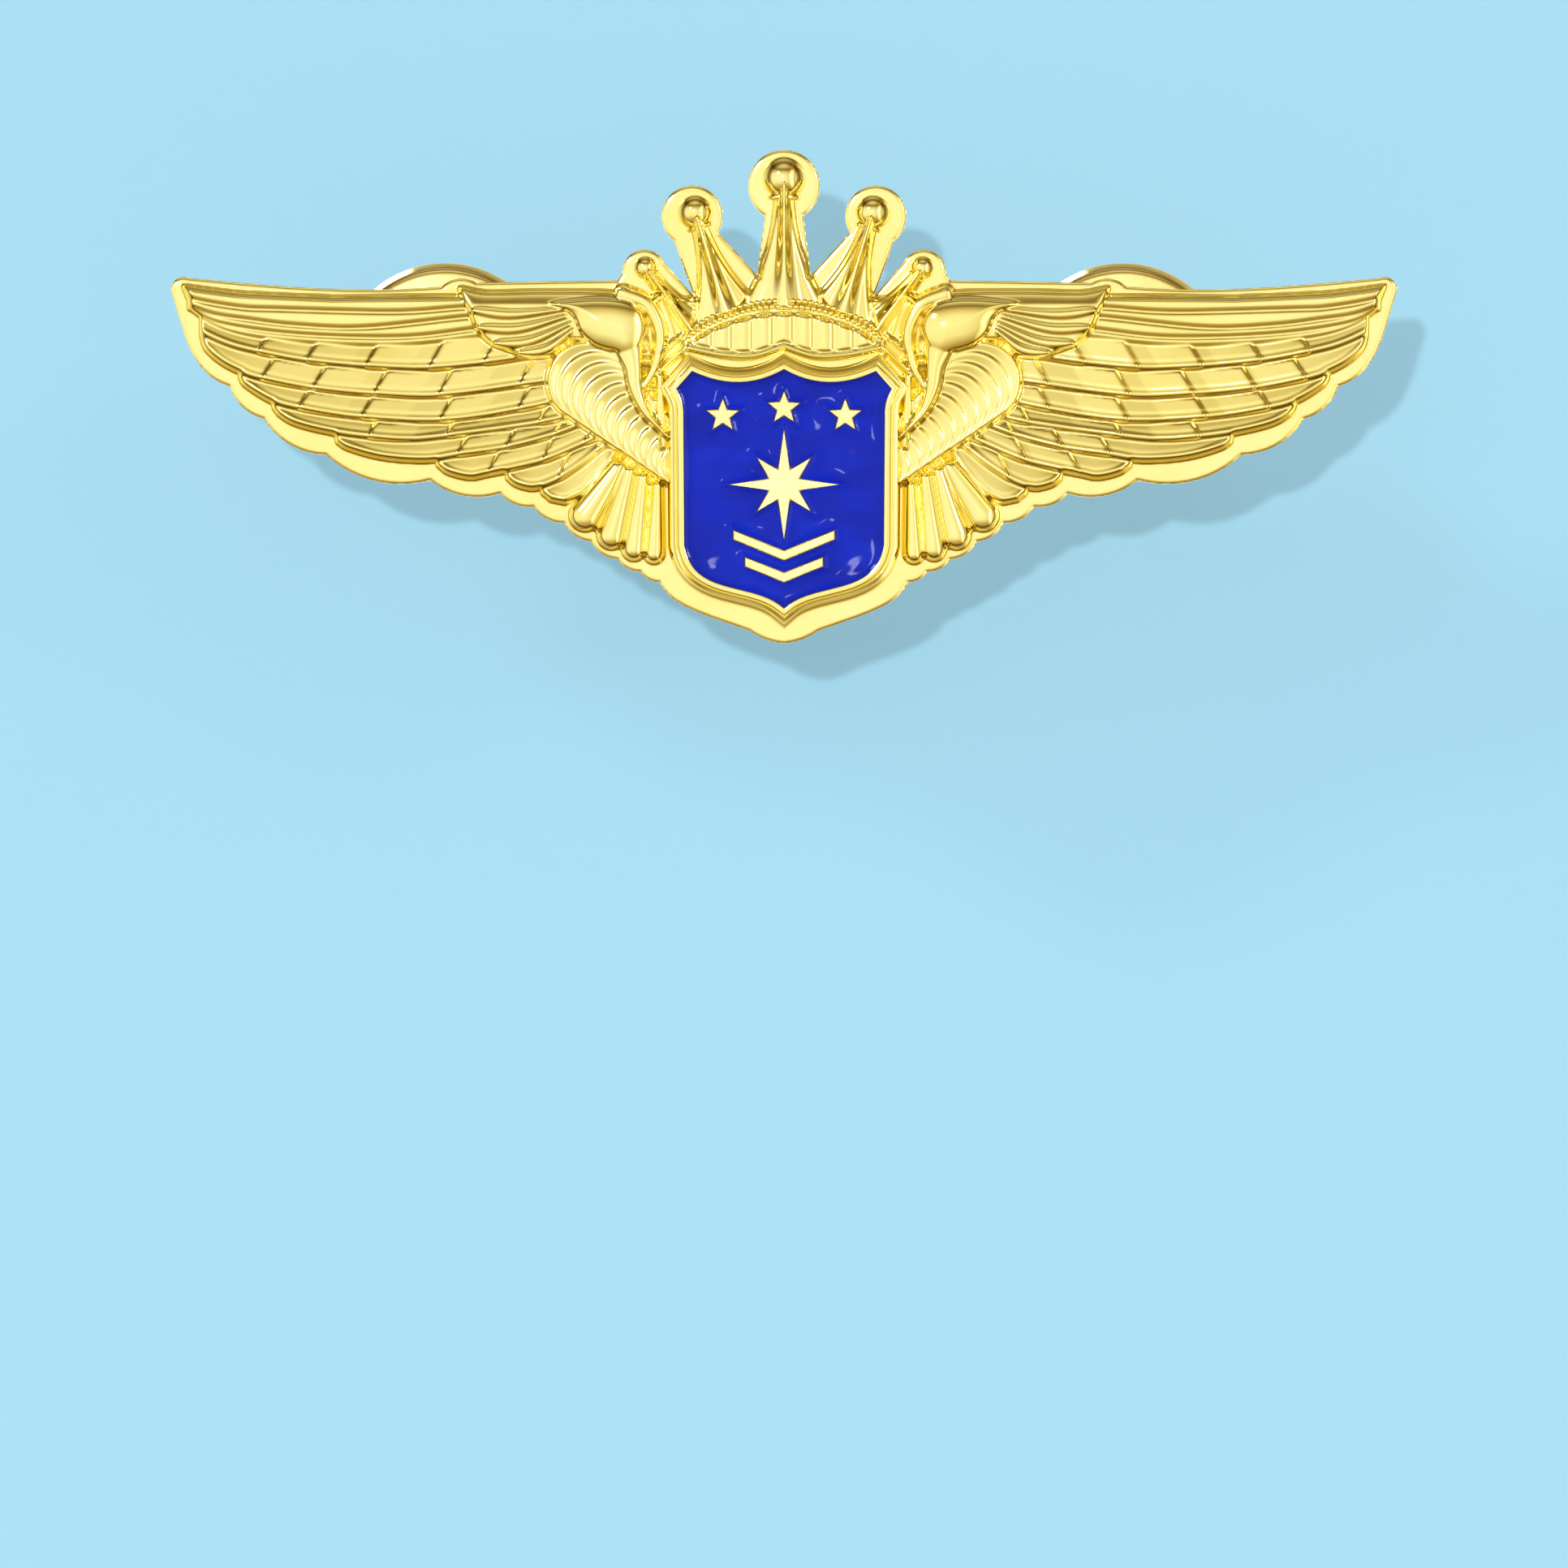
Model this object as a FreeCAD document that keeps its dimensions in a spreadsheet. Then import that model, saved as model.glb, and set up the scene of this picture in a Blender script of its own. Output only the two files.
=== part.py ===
import FreeCAD, Part
import math
import os

import Sketcher

# Pilot wings pin: X is to the right as seen from the front and Z is up (crown on top). The front
# faces -Y and the needles point along +Y. The origin is on the badge's back face, half way
# between the two needles. All sizes are in millimetres.

doc = FreeCAD.newDocument("pilot_wings_pin")
sheet = doc.addObject("Spreadsheet::Sheet", "Dims")

DRIVING_SIZES = {
    "wing_span": 64.0,
    "plate_thick": 1.7,
    "field_rise": 0.45,
    "feather_rise": 0.75,
    "covert_rise": 1.15,
    "neck_rise": 1.0,
    "bezel_rise": 1.5,
    "recess_rise": 0.45,
    "enamel_thick": 0.55,
    "emblem_rise": 0.65,
    "crown_ball": 1.06,
    "inner_ball": 0.85,
    "outer_ball": 0.56,
    "post_pitch": 35.6,
    "seat_radius": 2.25,
    "seat_depth": 0.3,
    "dome_radius": 2.05,
    "dome_rise": 1.1,
    "foot_radius": 0.85,
    "needle_radius": 0.6,
    "groove_radius": 0.44,
    "needle_reach": 7.8,
    "shank_reach": 4.8,
    "head_start": 6.9,
    "clutch_gap": 5.0,
    "clutch_turn": 17.0,
    "cup_radius": 5.75,
    "cup_floor": 0.35,
    "cup_rim": 1.5,
    "rim_width": 1.05,
    "cup_hole": 0.85,
    "bridge_sheet": 0.3,
    "bridge_top": 3.2,
    "rib_radius": 0.5,
    "rib_length": 5.5,
    "rib_rise": 0.4,
    "spring_sheet": 0.25,
    "wing_sheet": 0.3,
    "wing_slope": 51.0,
    "jaw_gap": 0.68,
}
for row, (alias, value) in enumerate(DRIVING_SIZES.items(), start=1):
    sheet.set(f"A{row}", alias)
    sheet.set(f"B{row}", str(value))
    sheet.setAlias(f"B{row}", alias)
doc.recompute()


def size(alias):
    """A driving dimension's value from the sheet."""
    return float(getattr(sheet, alias))


# Outlines are drawn for a 64 mm span and follow the span in the sheet.
DRAWN_SPAN = 64.0
SCALE = size("wing_span") / DRAWN_SPAN
HAIR = 0.1  # how far a raised detail is sunk into what carries it
FRONT = FreeCAD.Rotation(
    FreeCAD.Vector(1, 0, 0), FreeCAD.Vector(0, 0, 1), FreeCAD.Vector(0, -1, 0), "ZXY"
)


def flat(x, y):
    return FreeCAD.Vector(x * SCALE, y * SCALE, 0)


def bulge(start, end, share):
    """The middle point of an arc from start to end that stands out to the left by share of the chord."""
    along_x, along_z = end[0] - start[0], end[1] - start[1]
    return (
        (start[0] + end[0]) / 2 - along_z * share,
        (start[1] + end[1]) / 2 + along_x * share,
    )


def outline_sketch(name, start, steps, rise):
    """A closed sketch on the front. A step is ("line", to), ("arc", via, to) or ("curve", point, ...)."""
    sketch = doc.addObject("Sketcher::SketchObject", name)
    sketch.Placement = FreeCAD.Placement(FreeCAD.Vector(0, 0, 0), FRONT)
    here = start
    for step in steps:
        kind, points = step[0], step[1:]
        if kind == "line":
            sketch.addGeometry(Part.LineSegment(flat(*here), flat(*points[0])))
        elif kind == "arc":
            sketch.addGeometry(Part.Arc(flat(*here), flat(*points[0]), flat(*points[1])))
        else:
            curve = Part.BSplineCurve()
            curve.interpolate([flat(*p) for p in (here,) + points])
            sketch.addGeometry(curve)
        here = points[-1]
    if rise:
        sketch.setExpression(".Placement.Base.y", f"-({rise})")
    return sketch


def pad(name, sketch, length):
    """A solid from a sketch, towards the front, with its length from the sheet."""
    solid = doc.addObject("Part::Extrusion", name)
    solid.Base = sketch
    solid.DirMode = "Normal"
    solid.Solid = True
    solid.setExpression("LengthFwd", length)
    return solid


def mirror_x(name, source):
    copy = doc.addObject("Part::Mirroring", name)
    copy.Source = source
    copy.Base = FreeCAD.Vector(0, 0, 0)
    copy.Normal = FreeCAD.Vector(1, 0, 0)
    return copy


def fuse(name, shapes):
    joined = doc.addObject("Part::MultiFuse", name)
    joined.Shapes = shapes
    joined.Refine = False
    return joined


def cut(name, base, tool):
    rest = doc.addObject("Part::Cut", name)
    rest.Base = base
    rest.Tool = tool
    return rest


# ---------------------------------------------------------------- badge casting

# Right half of the plate, clockwise from the crown's top to the shield's point.
CROWN_TOP = (0, 11.57)
CROWN_EDGE = [
    ("arc", (1.85, 10.0), (1.0, 8.12)),
    ("line", (1.4, 5.0)),
    ("line", (3.45, 7.25)),
    ("arc", (5.3, 9.62), (5.75, 6.81)),
    ("line", (4.7, 3.9)),
    ("line", (6.25, 5.65)),
    ("arc", (7.85, 6.21), (8.45, 5.1)),
]
WING_TOP = [
    ("line", (8.7, 4.75)),
    ("line", (16.1, 4.62)),
    ("arc", (17.05, 4.84), (17.9, 4.42)),
    ("curve", (20.4, 4.28), (26.0, 4.42), (31.2, 4.88)),
    ("arc", (31.9, 4.7), (32.0, 4.0)),
]
# The notches between the feather tips, from the wing's tip to the shield.
NOTCHES = [
    (29.0, -0.8),
    (27.2, -2.5),
    (23.95, -4.38),
    (18.5, -5.7),
    (14.85, -6.4),
    (13.1, -7.1),
    (11.5, -7.95),
    (10.1, -8.92),
    (8.7, -9.85),
    (7.5, -10.5),
    (6.5, -11.05),
]
SCALLOP_BULGE = 0.13
SHIELD_FOOT = [
    ("curve", (5.77, -11.94), (4.86, -12.46), (3.27, -13.08), (1.79, -13.59)),
    ("curve", (1.0, -14.02), (0, -14.25)),
]


def right_edge():
    """The plate's right edge as sketch steps."""
    steps = CROWN_EDGE + WING_TOP + [("curve", (31.55, 2.5), (30.6, 0.35), NOTCHES[0])]
    for here, there in zip(NOTCHES, NOTCHES[1:]):
        steps.append(("arc", bulge(there, here, -SCALLOP_BULGE), there))
    return steps + SHIELD_FOOT


def reversed_steps(start, steps):
    """The mirror image of a run of steps, from its last point back to its first."""
    corners = [start] + [step[-1] for step in steps]
    back = []
    for index in range(len(steps) - 1, -1, -1):
        middle = [(-x, z) for x, z in reversed(steps[index][1:-1])]
        x, z = corners[index]
        back.append((steps[index][0], *middle, (-x, z)))
    return back


def symmetric_pad(name, start, steps, rise, length):
    """A pad whose outline is a right half and its mirror image."""
    whole = steps + reversed_steps(start, steps)
    return pad(name, outline_sketch(name + "_outline", start, whole, rise), length)


plate = symmetric_pad("plate", CROWN_TOP, right_edge(), None, "Dims.plate_thick")

# The raised field of one wing, inside the flat border.
FIELD_START = (17.0, 4.3)
FIELD_EDGE = [
    ("curve", (20.5, 3.9), (26.0, 3.95), (31.1, 4.3)),
    ("curve", (30.9, 2.6), (30.0, 0.6), (28.3, -0.6)),
    ("line", (27.9, -0.3)),
    ("curve", (25.6, -2.2), (23.4, -3.5)),
    ("line", (22.9, -3.3)),
    ("curve", (20.8, -4.3), (18.2, -4.9)),
    ("line", (17.6, -4.6)),
    ("curve", (15.6, -5.6), (13.4, -6.2)),
    ("line", (11.2, -7.3)),
    ("line", (9.3, -8.6)),
    ("line", (6.9, -9.9)),
    ("line", (6.4, -3.0)),
    ("line", (7.0, 3.9)),
    ("line", FIELD_START),
]
field_outline = outline_sketch(
    "wing_field_outline", FIELD_START, FIELD_EDGE, f"Dims.plate_thick - {HAIR}"
)
field = pad("wing_field", field_outline, f"Dims.field_rise + {HAIR}")

# Each long feather: its root, a point half way and its tip, with its half width there.
LEADING_FEATHERS = [
    ((17.3, 3.7), (24.5, 3.55), (31.0, 4.1), 0.42),
    ((17.0, 2.75), (24.5, 2.55), (30.6, 3.45), 0.4),
    ((16.6, 1.95), (24.5, 1.75), (30.2, 2.7), 0.3),
]
LONG_FEATHERS = [
    ((13.6, 0.15), (23.0, 0.35), (29.9, 1.9), 0.62),
    ((12.8, -0.85), (21.5, -1.2), (28.2, 0.1), 0.62),
    ((12.3, -1.75), (20.0, -2.5), (26.2, -1.75), 0.56),
    ((11.8, -2.6), (18.4, -3.5), (23.6, -3.0), 0.5),
    ((11.2, -3.35), (15.6, -4.35), (19.8, -4.45), 0.46),
    ((10.7, -4.15), (14.0, -5.1), (16.8, -5.45), 0.42),
    ((10.2, -4.95), (12.3, -5.85), (14.4, -6.15), 0.38),
]
FINGER_FEATHERS = [
    ((9.9, -5.4), (11.6, -6.3), (12.9, -6.9), 0.42),
    ((9.3, -5.8), (10.6, -7.0), (11.4, -7.9), 0.42),
    ((8.7, -6.2), (9.6, -7.7), (10.1, -8.8), 0.42),
    ((8.1, -6.6), (8.6, -8.2), (8.85, -9.5), 0.4),
    ((7.4, -7.0), (7.6, -8.7), (7.7, -10.1), 0.38),
]


ROOT_SHARE = 0.8  # a feather's half width at its root, as a share of its half width half way


def feather(name, root, middle, tip, half_width, sink, rise):
    """A tapering feather raised on the field: blunt at the root and pointed at the tip."""
    length = math.dist(root, tip)
    side_x = -(tip[1] - root[1]) / length * half_width
    side_z = (tip[0] - root[0]) / length * half_width
    over_root = (root[0] + side_x * ROOT_SHARE, root[1] + side_z * ROOT_SHARE)
    under_root = (root[0] - side_x * ROOT_SHARE, root[1] - side_z * ROOT_SHARE)
    over_middle = (middle[0] + side_x, middle[1] + side_z)
    under_middle = (middle[0] - side_x, middle[1] - side_z)
    steps = [
        ("curve", over_middle, tip),
        ("curve", under_middle, under_root),
        ("line", over_root),
    ]
    sketch = outline_sketch(name + "_outline", over_root, steps, sink)
    return pad(name, sketch, rise)


half_relief = [field]
STAGGER = 0.4  # how much lower every second feather is, as a share of the field's rise
SINK = f"Dims.plate_thick + Dims.field_rise - {HAIR}"
for group, feathers in (
    ("leading_feather", LEADING_FEATHERS),
    ("long_feather", LONG_FEATHERS),
    ("finger_feather", FINGER_FEATHERS),
):
    for number, (root, middle, tip, half_width) in enumerate(feathers, start=1):
        name = f"{group}_{number}"
        rise = f"Dims.feather_rise - Dims.field_rise * {number % 2} * {STAGGER} + {HAIR}"
        half_relief.append(feather(name, root, middle, tip, half_width, SINK, rise))

# The shoulder covert over the feathers' roots, and the ribbed neck between it and the shield.
COVERT_START = (17.0, 4.4)
COVERT_EDGE = [
    ("curve", (16.1, 2.6), (13.9, 0.85), (12.1, 0.8)),
    ("curve", (10.9, 2.3), (9.9, 1.65), (8.1, 0.5)),
    ("curve", (7.9, -1.6), (6.5, -3.5)),
    ("curve", (6.3, 0.5), (7.6, 3.9)),
    ("curve", (12.0, 4.0), COVERT_START),
]
covert_outline = outline_sketch("covert_outline", COVERT_START, COVERT_EDGE, SINK)
half_relief.append(pad("covert", covert_outline, f"Dims.covert_rise + {HAIR}"))

NECK_RIBS = 8
NECK_TOP, NECK_BOTTOM = (10.6, 0.2), (6.9, -6.2)
NECK_TOP_RADIUS, NECK_BOTTOM_RADIUS = 1.35, 0.55
NECK_FALL = 0.3  # how much lower the last rib stands than the first, as a share
for number in range(NECK_RIBS):
    share = number / (NECK_RIBS - 1)
    radius = NECK_TOP_RADIUS + (NECK_BOTTOM_RADIUS - NECK_TOP_RADIUS) * share
    rib = doc.addObject("Part::Cylinder", f"neck_rib_{number + 1}")
    rib.Radius = radius * SCALE
    rib.setExpression("Height", f"Dims.neck_rise * {1 - NECK_FALL * share:.3f} + {HAIR}")
    centre_x = NECK_TOP[0] + (NECK_BOTTOM[0] - NECK_TOP[0]) * share
    centre_z = NECK_TOP[1] + (NECK_BOTTOM[1] - NECK_TOP[1]) * share
    rib.Placement = FreeCAD.Placement(FreeCAD.Vector(centre_x * SCALE, 0, centre_z * SCALE), FRONT)
    rib.setExpression(".Placement.Base.y", f"-({SINK})")
    half_relief.append(rib)

# The crown: five tapering spikes, each with a ball at its end, over a curved band.
SPIKE_TAPER = 0.35  # a spike's radius at its ball, as a share of its radius at its foot
SPIKES = [
    ("centre", (0.0, 4.2), (0.0, 10.1), "crown_ball", 0.95),
    ("inner", (3.0, 3.6), (4.65, 8.3), "inner_ball", 0.8),
    ("outer", (5.7, 2.9), (7.25, 5.4), "outer_ball", 0.55),
]
for label, foot, top, ball_size, foot_radius in SPIKES:
    spike = doc.addObject("Part::Cone", f"{label}_spike")
    spike.Radius1 = foot_radius * SCALE
    spike.Radius2 = foot_radius * SPIKE_TAPER * SCALE
    run_x, run_z = (top[0] - foot[0]) * SCALE, (top[1] - foot[1]) * SCALE
    spike.Height = math.hypot(run_x, run_z)
    lean = FreeCAD.Rotation(FreeCAD.Vector(0, 0, 1), FreeCAD.Vector(run_x, 0, run_z))
    spike.Placement = FreeCAD.Placement(FreeCAD.Vector(foot[0] * SCALE, 0, foot[1] * SCALE), lean)
    spike.setExpression(".Placement.Base.y", "-Dims.plate_thick")
    ball = doc.addObject("Part::Sphere", f"{label}_ball")
    ball.setExpression("Radius", f"Dims.{ball_size}")
    ball.Placement.Base = FreeCAD.Vector(top[0] * SCALE, 0, top[1] * SCALE)
    ball.setExpression(".Placement.Base.y", "-Dims.plate_thick")
    if label == "centre":
        crown_centre = [spike, ball]
    else:
        half_relief += [spike, ball]

right_relief = fuse("right_relief", half_relief)
left_relief = mirror_x("left_relief", right_relief)

BAND_TOP = (0, 4.6)
BAND_EDGE = [
    ("arc", (2.7, 4.25), (5.6, 2.9)),
    ("line", (5.9, 0.2)),
    ("curve", (3.0, 0.5), (0, 1.2)),
]
band = symmetric_pad(
    "crown_band", BAND_TOP, BAND_EDGE, f"Dims.plate_thick - {HAIR}", "Dims.bezel_rise"
)

# The shield: a solid block with the enamel's recess cut into it and the emblem left standing.
BEZEL_TOP = (0, 1.3)
BEZEL_EDGE = [
    ("curve", (1.6, 0.7), (4.9, 0.95)),
    ("curve", (6.05, -0.1), (6.4, -1.0)),
    ("curve", (6.16, -1.6), (6.07, -2.4)),
    ("line", (6.08, -9.5)),
    ("curve", (4.9, -11.7), (2.0, -12.75), (0, -13.5)),
]
ENAMEL_TOP = (0, 0.05)
ENAMEL_EDGE = [
    ("curve", (1.6, -0.55), (4.8, -0.05)),
    ("line", (5.6, -0.95)),
    ("curve", (5.34, -1.55), (5.25, -2.4)),
    ("line", (5.2, -9.1)),
    ("curve", (4.2, -10.75), (1.6, -11.6), (0, -12.4)),
]
bezel = symmetric_pad(
    "bezel_block", BEZEL_TOP, BEZEL_EDGE, f"Dims.plate_thick - {HAIR}", f"Dims.bezel_rise + {HAIR}"
)
RECESS = "Dims.plate_thick + Dims.recess_rise"
recess = symmetric_pad("enamel_recess", ENAMEL_TOP, ENAMEL_EDGE, RECESS, "Dims.bezel_rise")

# The emblem: an eight-pointed compass star with a row of small stars over it and chevrons under it.
COMPASS_CENTRE = (0.0, -5.95)
COMPASS_LONG, COMPASS_SHORT, COMPASS_WAIST = 3.05, 2.15, 0.95
SMALL_STARS = [(-3.2, -2.35), (0.0, -1.95), (3.2, -2.35)]
SMALL_STAR_RADIUS, SMALL_STAR_WAIST = 1.05, 0.46
CHEVRONS = [-9.35, -10.5]
CHEVRON_SIZES = [(2.7, 1.1), (2.1, 0.85)]  # half width and drop of each
CHEVRON_BROAD = 0.62


def star_corners(centre, radii, waist):
    """Corners of a star that starts upwards: each radius in turn is a point's, with a waist between."""
    corners = []
    turns = 2 * len(radii)
    for index in range(turns):
        reach = radii[index // 2] if index % 2 == 0 else waist
        angle = math.pi / 2 - 2 * math.pi * index / turns
        corners.append((centre[0] + reach * math.cos(angle), centre[1] + reach * math.sin(angle)))
    return corners


def polygon_pad(name, corners, rise, length):
    steps = [("line", corner) for corner in corners[1:] + corners[:1]]
    return pad(name, outline_sketch(name + "_outline", corners[0], steps, rise), length)


COMPASS_RADII = [COMPASS_LONG, COMPASS_SHORT] * 4
compass_corners = star_corners(COMPASS_CENTRE, COMPASS_RADII, COMPASS_WAIST)
emblem_shapes = [("compass_star", compass_corners)]
for number, centre in enumerate(SMALL_STARS, start=1):
    corners = star_corners(centre, [SMALL_STAR_RADIUS] * 5, SMALL_STAR_WAIST)
    emblem_shapes.append((f"small_star_{number}", corners))
for number, (peak, (half, drop)) in enumerate(zip(CHEVRONS, CHEVRON_SIZES), start=1):
    corners = [
        (0, peak),
        (half, peak + drop),
        (half, peak + drop - CHEVRON_BROAD),
        (0, peak - CHEVRON_BROAD),
        (-half, peak + drop - CHEVRON_BROAD),
        (-half, peak + drop),
    ]
    emblem_shapes.append((f"chevron_{number}", corners))
emblem = fuse(
    "emblem",
    [
        polygon_pad(name, corners, f"{RECESS} - {HAIR}", f"Dims.emblem_rise + {HAIR}")
        for name, corners in emblem_shapes
    ],
)
shield = cut("shield_block", bezel, recess)

casting_blank = fuse(
    "casting_blank",
    [plate, right_relief, left_relief, *crown_centre, band, shield, emblem],
)

SIDES = {"left": -1, "right": 1}
seats = []
for side, sign in SIDES.items():
    seat = doc.addObject("Part::Cylinder", f"{side}_seat")
    seat.setExpression("Radius", "Dims.seat_radius")
    seat.setExpression("Height", "Dims.seat_depth")
    seat.Placement = FreeCAD.Placement(FreeCAD.Vector(0, 0, 0), FRONT)
    seat.setExpression(".Placement.Base.x", f"{sign} * Dims.post_pitch / 2")
    seats.append(seat)
badge_casting = cut("badge_casting", casting_blank, fuse("post_seats", seats))

enamel_fill = symmetric_pad(
    "enamel_fill", ENAMEL_TOP, ENAMEL_EDGE, RECESS, "Dims.enamel_thick"
)
shield_enamel = cut("shield_enamel", enamel_fill, emblem)

# ---------------------------------------------------------------- posts and clutches

# Turned pieces are drawn as half sections: radius across, height along the needle.
BACK = FreeCAD.Rotation(
    FreeCAD.Vector(-1, 0, 0), FreeCAD.Vector(0, 0, 1), FreeCAD.Vector(0, 1, 0), "ZXY"
)


def place_on_post(piece, sign, height, angle=0):
    """Puts a piece whose own Z is the needle's axis on one post, height above the back face."""
    turn = FreeCAD.Rotation(FreeCAD.Vector(0, 0, 1), angle)
    piece.Placement = FreeCAD.Placement(FreeCAD.Vector(0, 0, 0), BACK.multiply(turn))
    piece.setExpression(".Placement.Base.x", f"{sign} * Dims.post_pitch / 2")
    piece.setExpression(".Placement.Base.y", height)


def turned_body(name, corners, bulges):
    """A PartDesign body turned about its own Z. A corner is (radius, height) as sheet formulas.

    bulges gives the edges that are arcs: the edge's number and how far it stands out, as a share
    of its chord.
    """
    body = doc.addObject("PartDesign::Body", name)
    section = body.newObject("Sketcher::SketchObject", name + "_section")
    plane = next(f for f in body.Origin.OriginFeatures if f.Role == "XZ_Plane")
    section.AttachmentSupport = (plane, "")
    section.MapMode = "FlatFace"
    spots = []
    for radius, height in corners:
        section.setExpression("AttachmentOffset.Base.x", radius)
        section.setExpression("AttachmentOffset.Base.y", height)
        doc.recompute()
        offset = section.AttachmentOffset.Base
        spots.append(FreeCAD.Vector(offset.x, offset.y, 0))
    section.setExpression("AttachmentOffset.Base.x", None)
    section.setExpression("AttachmentOffset.Base.y", None)
    section.AttachmentOffset = FreeCAD.Placement()
    for edge, start in enumerate(spots):
        end = spots[(edge + 1) % len(spots)]
        if edge in bulges:
            outwards = FreeCAD.Vector(end.y - start.y, start.x - end.x, 0) * bulges[edge]
            section.addGeometry(Part.Arc(start, (start + end) / 2 + outwards, end))
        else:
            section.addGeometry(Part.LineSegment(start, end))
    for number, spot in enumerate(spots):
        before = (number - 1) % len(spots)
        ends = [
            (edge, point)
            for edge in (before, number)
            for point in (1, 2)
            if section.getPoint(edge, point).distanceToPoint(spot) < 1e-6
        ]
        section.addConstraint(Sketcher.Constraint("Coincident", *ends[0], *ends[1]))
        for kind, formula, value in (
            ("DistanceX", corners[number][0], spot.x),
            ("DistanceY", corners[number][1], spot.y),
        ):
            held = section.addConstraint(Sketcher.Constraint(kind, -1, 1, *ends[1], value))
            section.setExpression(f"Constraints[{held}]", formula)
    turn = body.newObject("PartDesign::Revolution", name + "_turned")
    turn.Profile = section
    turn.ReferenceAxis = (section, ["V_Axis"])
    turn.Angle = 360
    body.Tip = turn
    return body


BASE_SECTION = [
    ("Dims.foot_radius", "-Dims.seat_depth"),
    ("Dims.seat_radius", "-Dims.seat_depth"),
    ("Dims.seat_radius", "0"),
    ("Dims.dome_radius", "0"),
    ("Dims.foot_radius + 0.1", "Dims.dome_rise"),
    ("Dims.foot_radius", "Dims.dome_rise"),
]
NEEDLE_SECTION = [
    ("0", "-Dims.seat_depth"),
    ("Dims.foot_radius", "-Dims.seat_depth"),
    ("Dims.foot_radius", "Dims.dome_rise"),
    ("Dims.needle_radius", "Dims.dome_rise"),
    ("Dims.needle_radius", "Dims.shank_reach"),
    ("Dims.groove_radius", "Dims.shank_reach + 0.12"),
    ("Dims.groove_radius", "Dims.head_start - 0.1"),
    ("Dims.needle_radius", "Dims.head_start"),
    ("Dims.needle_radius * 0.3", "Dims.needle_reach - 0.08"),
    ("0", "Dims.needle_reach"),
]
CUP_SECTION = [
    ("Dims.cup_hole", "0"),
    ("Dims.cup_radius - 0.3", "0"),
    ("Dims.cup_radius - Dims.rim_width * 0.45", "Dims.cup_rim"),
    ("Dims.cup_radius - Dims.rim_width", "Dims.cup_rim - 0.4"),
    ("Dims.cup_radius - Dims.rim_width - 0.2", "Dims.cup_rim - 0.5"),
    ("Dims.cup_radius - Dims.rim_width - 0.2", "Dims.cup_floor"),
    ("Dims.cup_hole", "Dims.cup_floor"),
]

# Clutch pieces are drawn with X across the bridge (a wing on each side), Y along it and Z
# away from the badge, from the middle of the cup's outer face.
BRIDGE_WAIST = (0.78, 0)
BRIDGE_PLAN = [
    ("curve", (1.4, 2.1), (2.45, 3.55)),
    ("arc", (0, 4.3), (-2.45, 3.55)),
    ("curve", (-1.4, 2.1), (-0.78, 0), (-1.4, -2.1), (-2.45, -3.55)),
    ("arc", (0, -4.3), (2.45, -3.55)),
    ("curve", (1.4, -2.1), BRIDGE_WAIST),
]
ARCH_FOOT, ARCH_SLOPE_FOOT, ARCH_SHOULDER = 4.5, 3.7, 2.7
SHOULDER_SHIFT = 0.7  # how far in the arch's inner shoulder is, as a share of the sheet
WING_ROOT, WING_ROOT_HALF = 1.5, 1.0
WING_PLAN_START = (0, -WING_ROOT_HALF)
WING_PLAN = [
    ("curve", (1.0, -1.85), (2.0, -2.15), (3.2, -1.7), (4.0, 0)),
    ("curve", (3.2, 1.7), (2.0, 2.15), (1.0, 1.85), (0, WING_ROOT_HALF)),
    ("line", WING_PLAN_START),
]
JAW_INNER, JAW_OUTER, JAW_LOW = 0.15, 1.75, 1.2
KNUCKLE_ALONG, KNUCKLE_RADIUS, KNUCKLE_HALF = 1.0, 0.22, 1.1
SPRING_HALF, SPRING_HALF_WIDE = 2.3, 1.3
BLANK_CLEAR = 2  # how far a trimming blank stands over the bridge


def plan_sketch(name, start, steps):
    """A closed sketch in the clutch's own XY plane."""
    sketch = outline_sketch(name, start, steps, None)
    sketch.Placement = FreeCAD.Placement()
    return sketch


def box(name, corner, sizes):
    block = doc.addObject("Part::Box", name)
    block.Placement.Base = FreeCAD.Vector(*corner)
    for side, value in zip(("Length", "Width", "Height"), sizes):
        if isinstance(value, str):
            block.setExpression(side, value)
        else:
            setattr(block, side, value)
    return block


def arch(name, lift):
    """The strap's side view as a solid across the whole cup, raised by lift over the strap itself."""
    low, high = size("cup_floor"), size("bridge_top")
    thick = size("bridge_sheet")
    upper = [
        (-ARCH_FOOT, low + thick + lift),
        (-ARCH_SLOPE_FOOT, low + thick + lift),
        (-ARCH_SHOULDER, high + lift),
        (ARCH_SHOULDER, high + lift),
        (ARCH_SLOPE_FOOT, low + thick + lift),
        (ARCH_FOOT, low + thick + lift),
    ]
    lower = [
        (ARCH_FOOT, low),
        (ARCH_SLOPE_FOOT - thick, low),
        (ARCH_SHOULDER - thick * SHOULDER_SHIFT, high - thick),
        (-ARCH_SHOULDER + thick * SHOULDER_SHIFT, high - thick),
        (-ARCH_SLOPE_FOOT + thick, low),
        (-ARCH_FOOT, low),
    ]
    corners = upper + lower
    steps = [("line", corner) for corner in corners[1:] + corners[:1]]
    sketch = outline_sketch(name + "_outline", corners[0], steps, None)
    across = FreeCAD.Rotation(
        FreeCAD.Vector(0, 1, 0), FreeCAD.Vector(0, 0, 1), FreeCAD.Vector(1, 0, 0), "ZXY"
    )
    sketch.Placement = FreeCAD.Placement(FreeCAD.Vector(-ARCH_FOOT, 0, 0), across)
    return pad(name, sketch, f"{2 * ARCH_FOOT}")


def common(name, first, second):
    overlap = doc.addObject("Part::MultiCommon", name)
    overlap.Shapes = [first, second]
    return overlap


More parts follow.
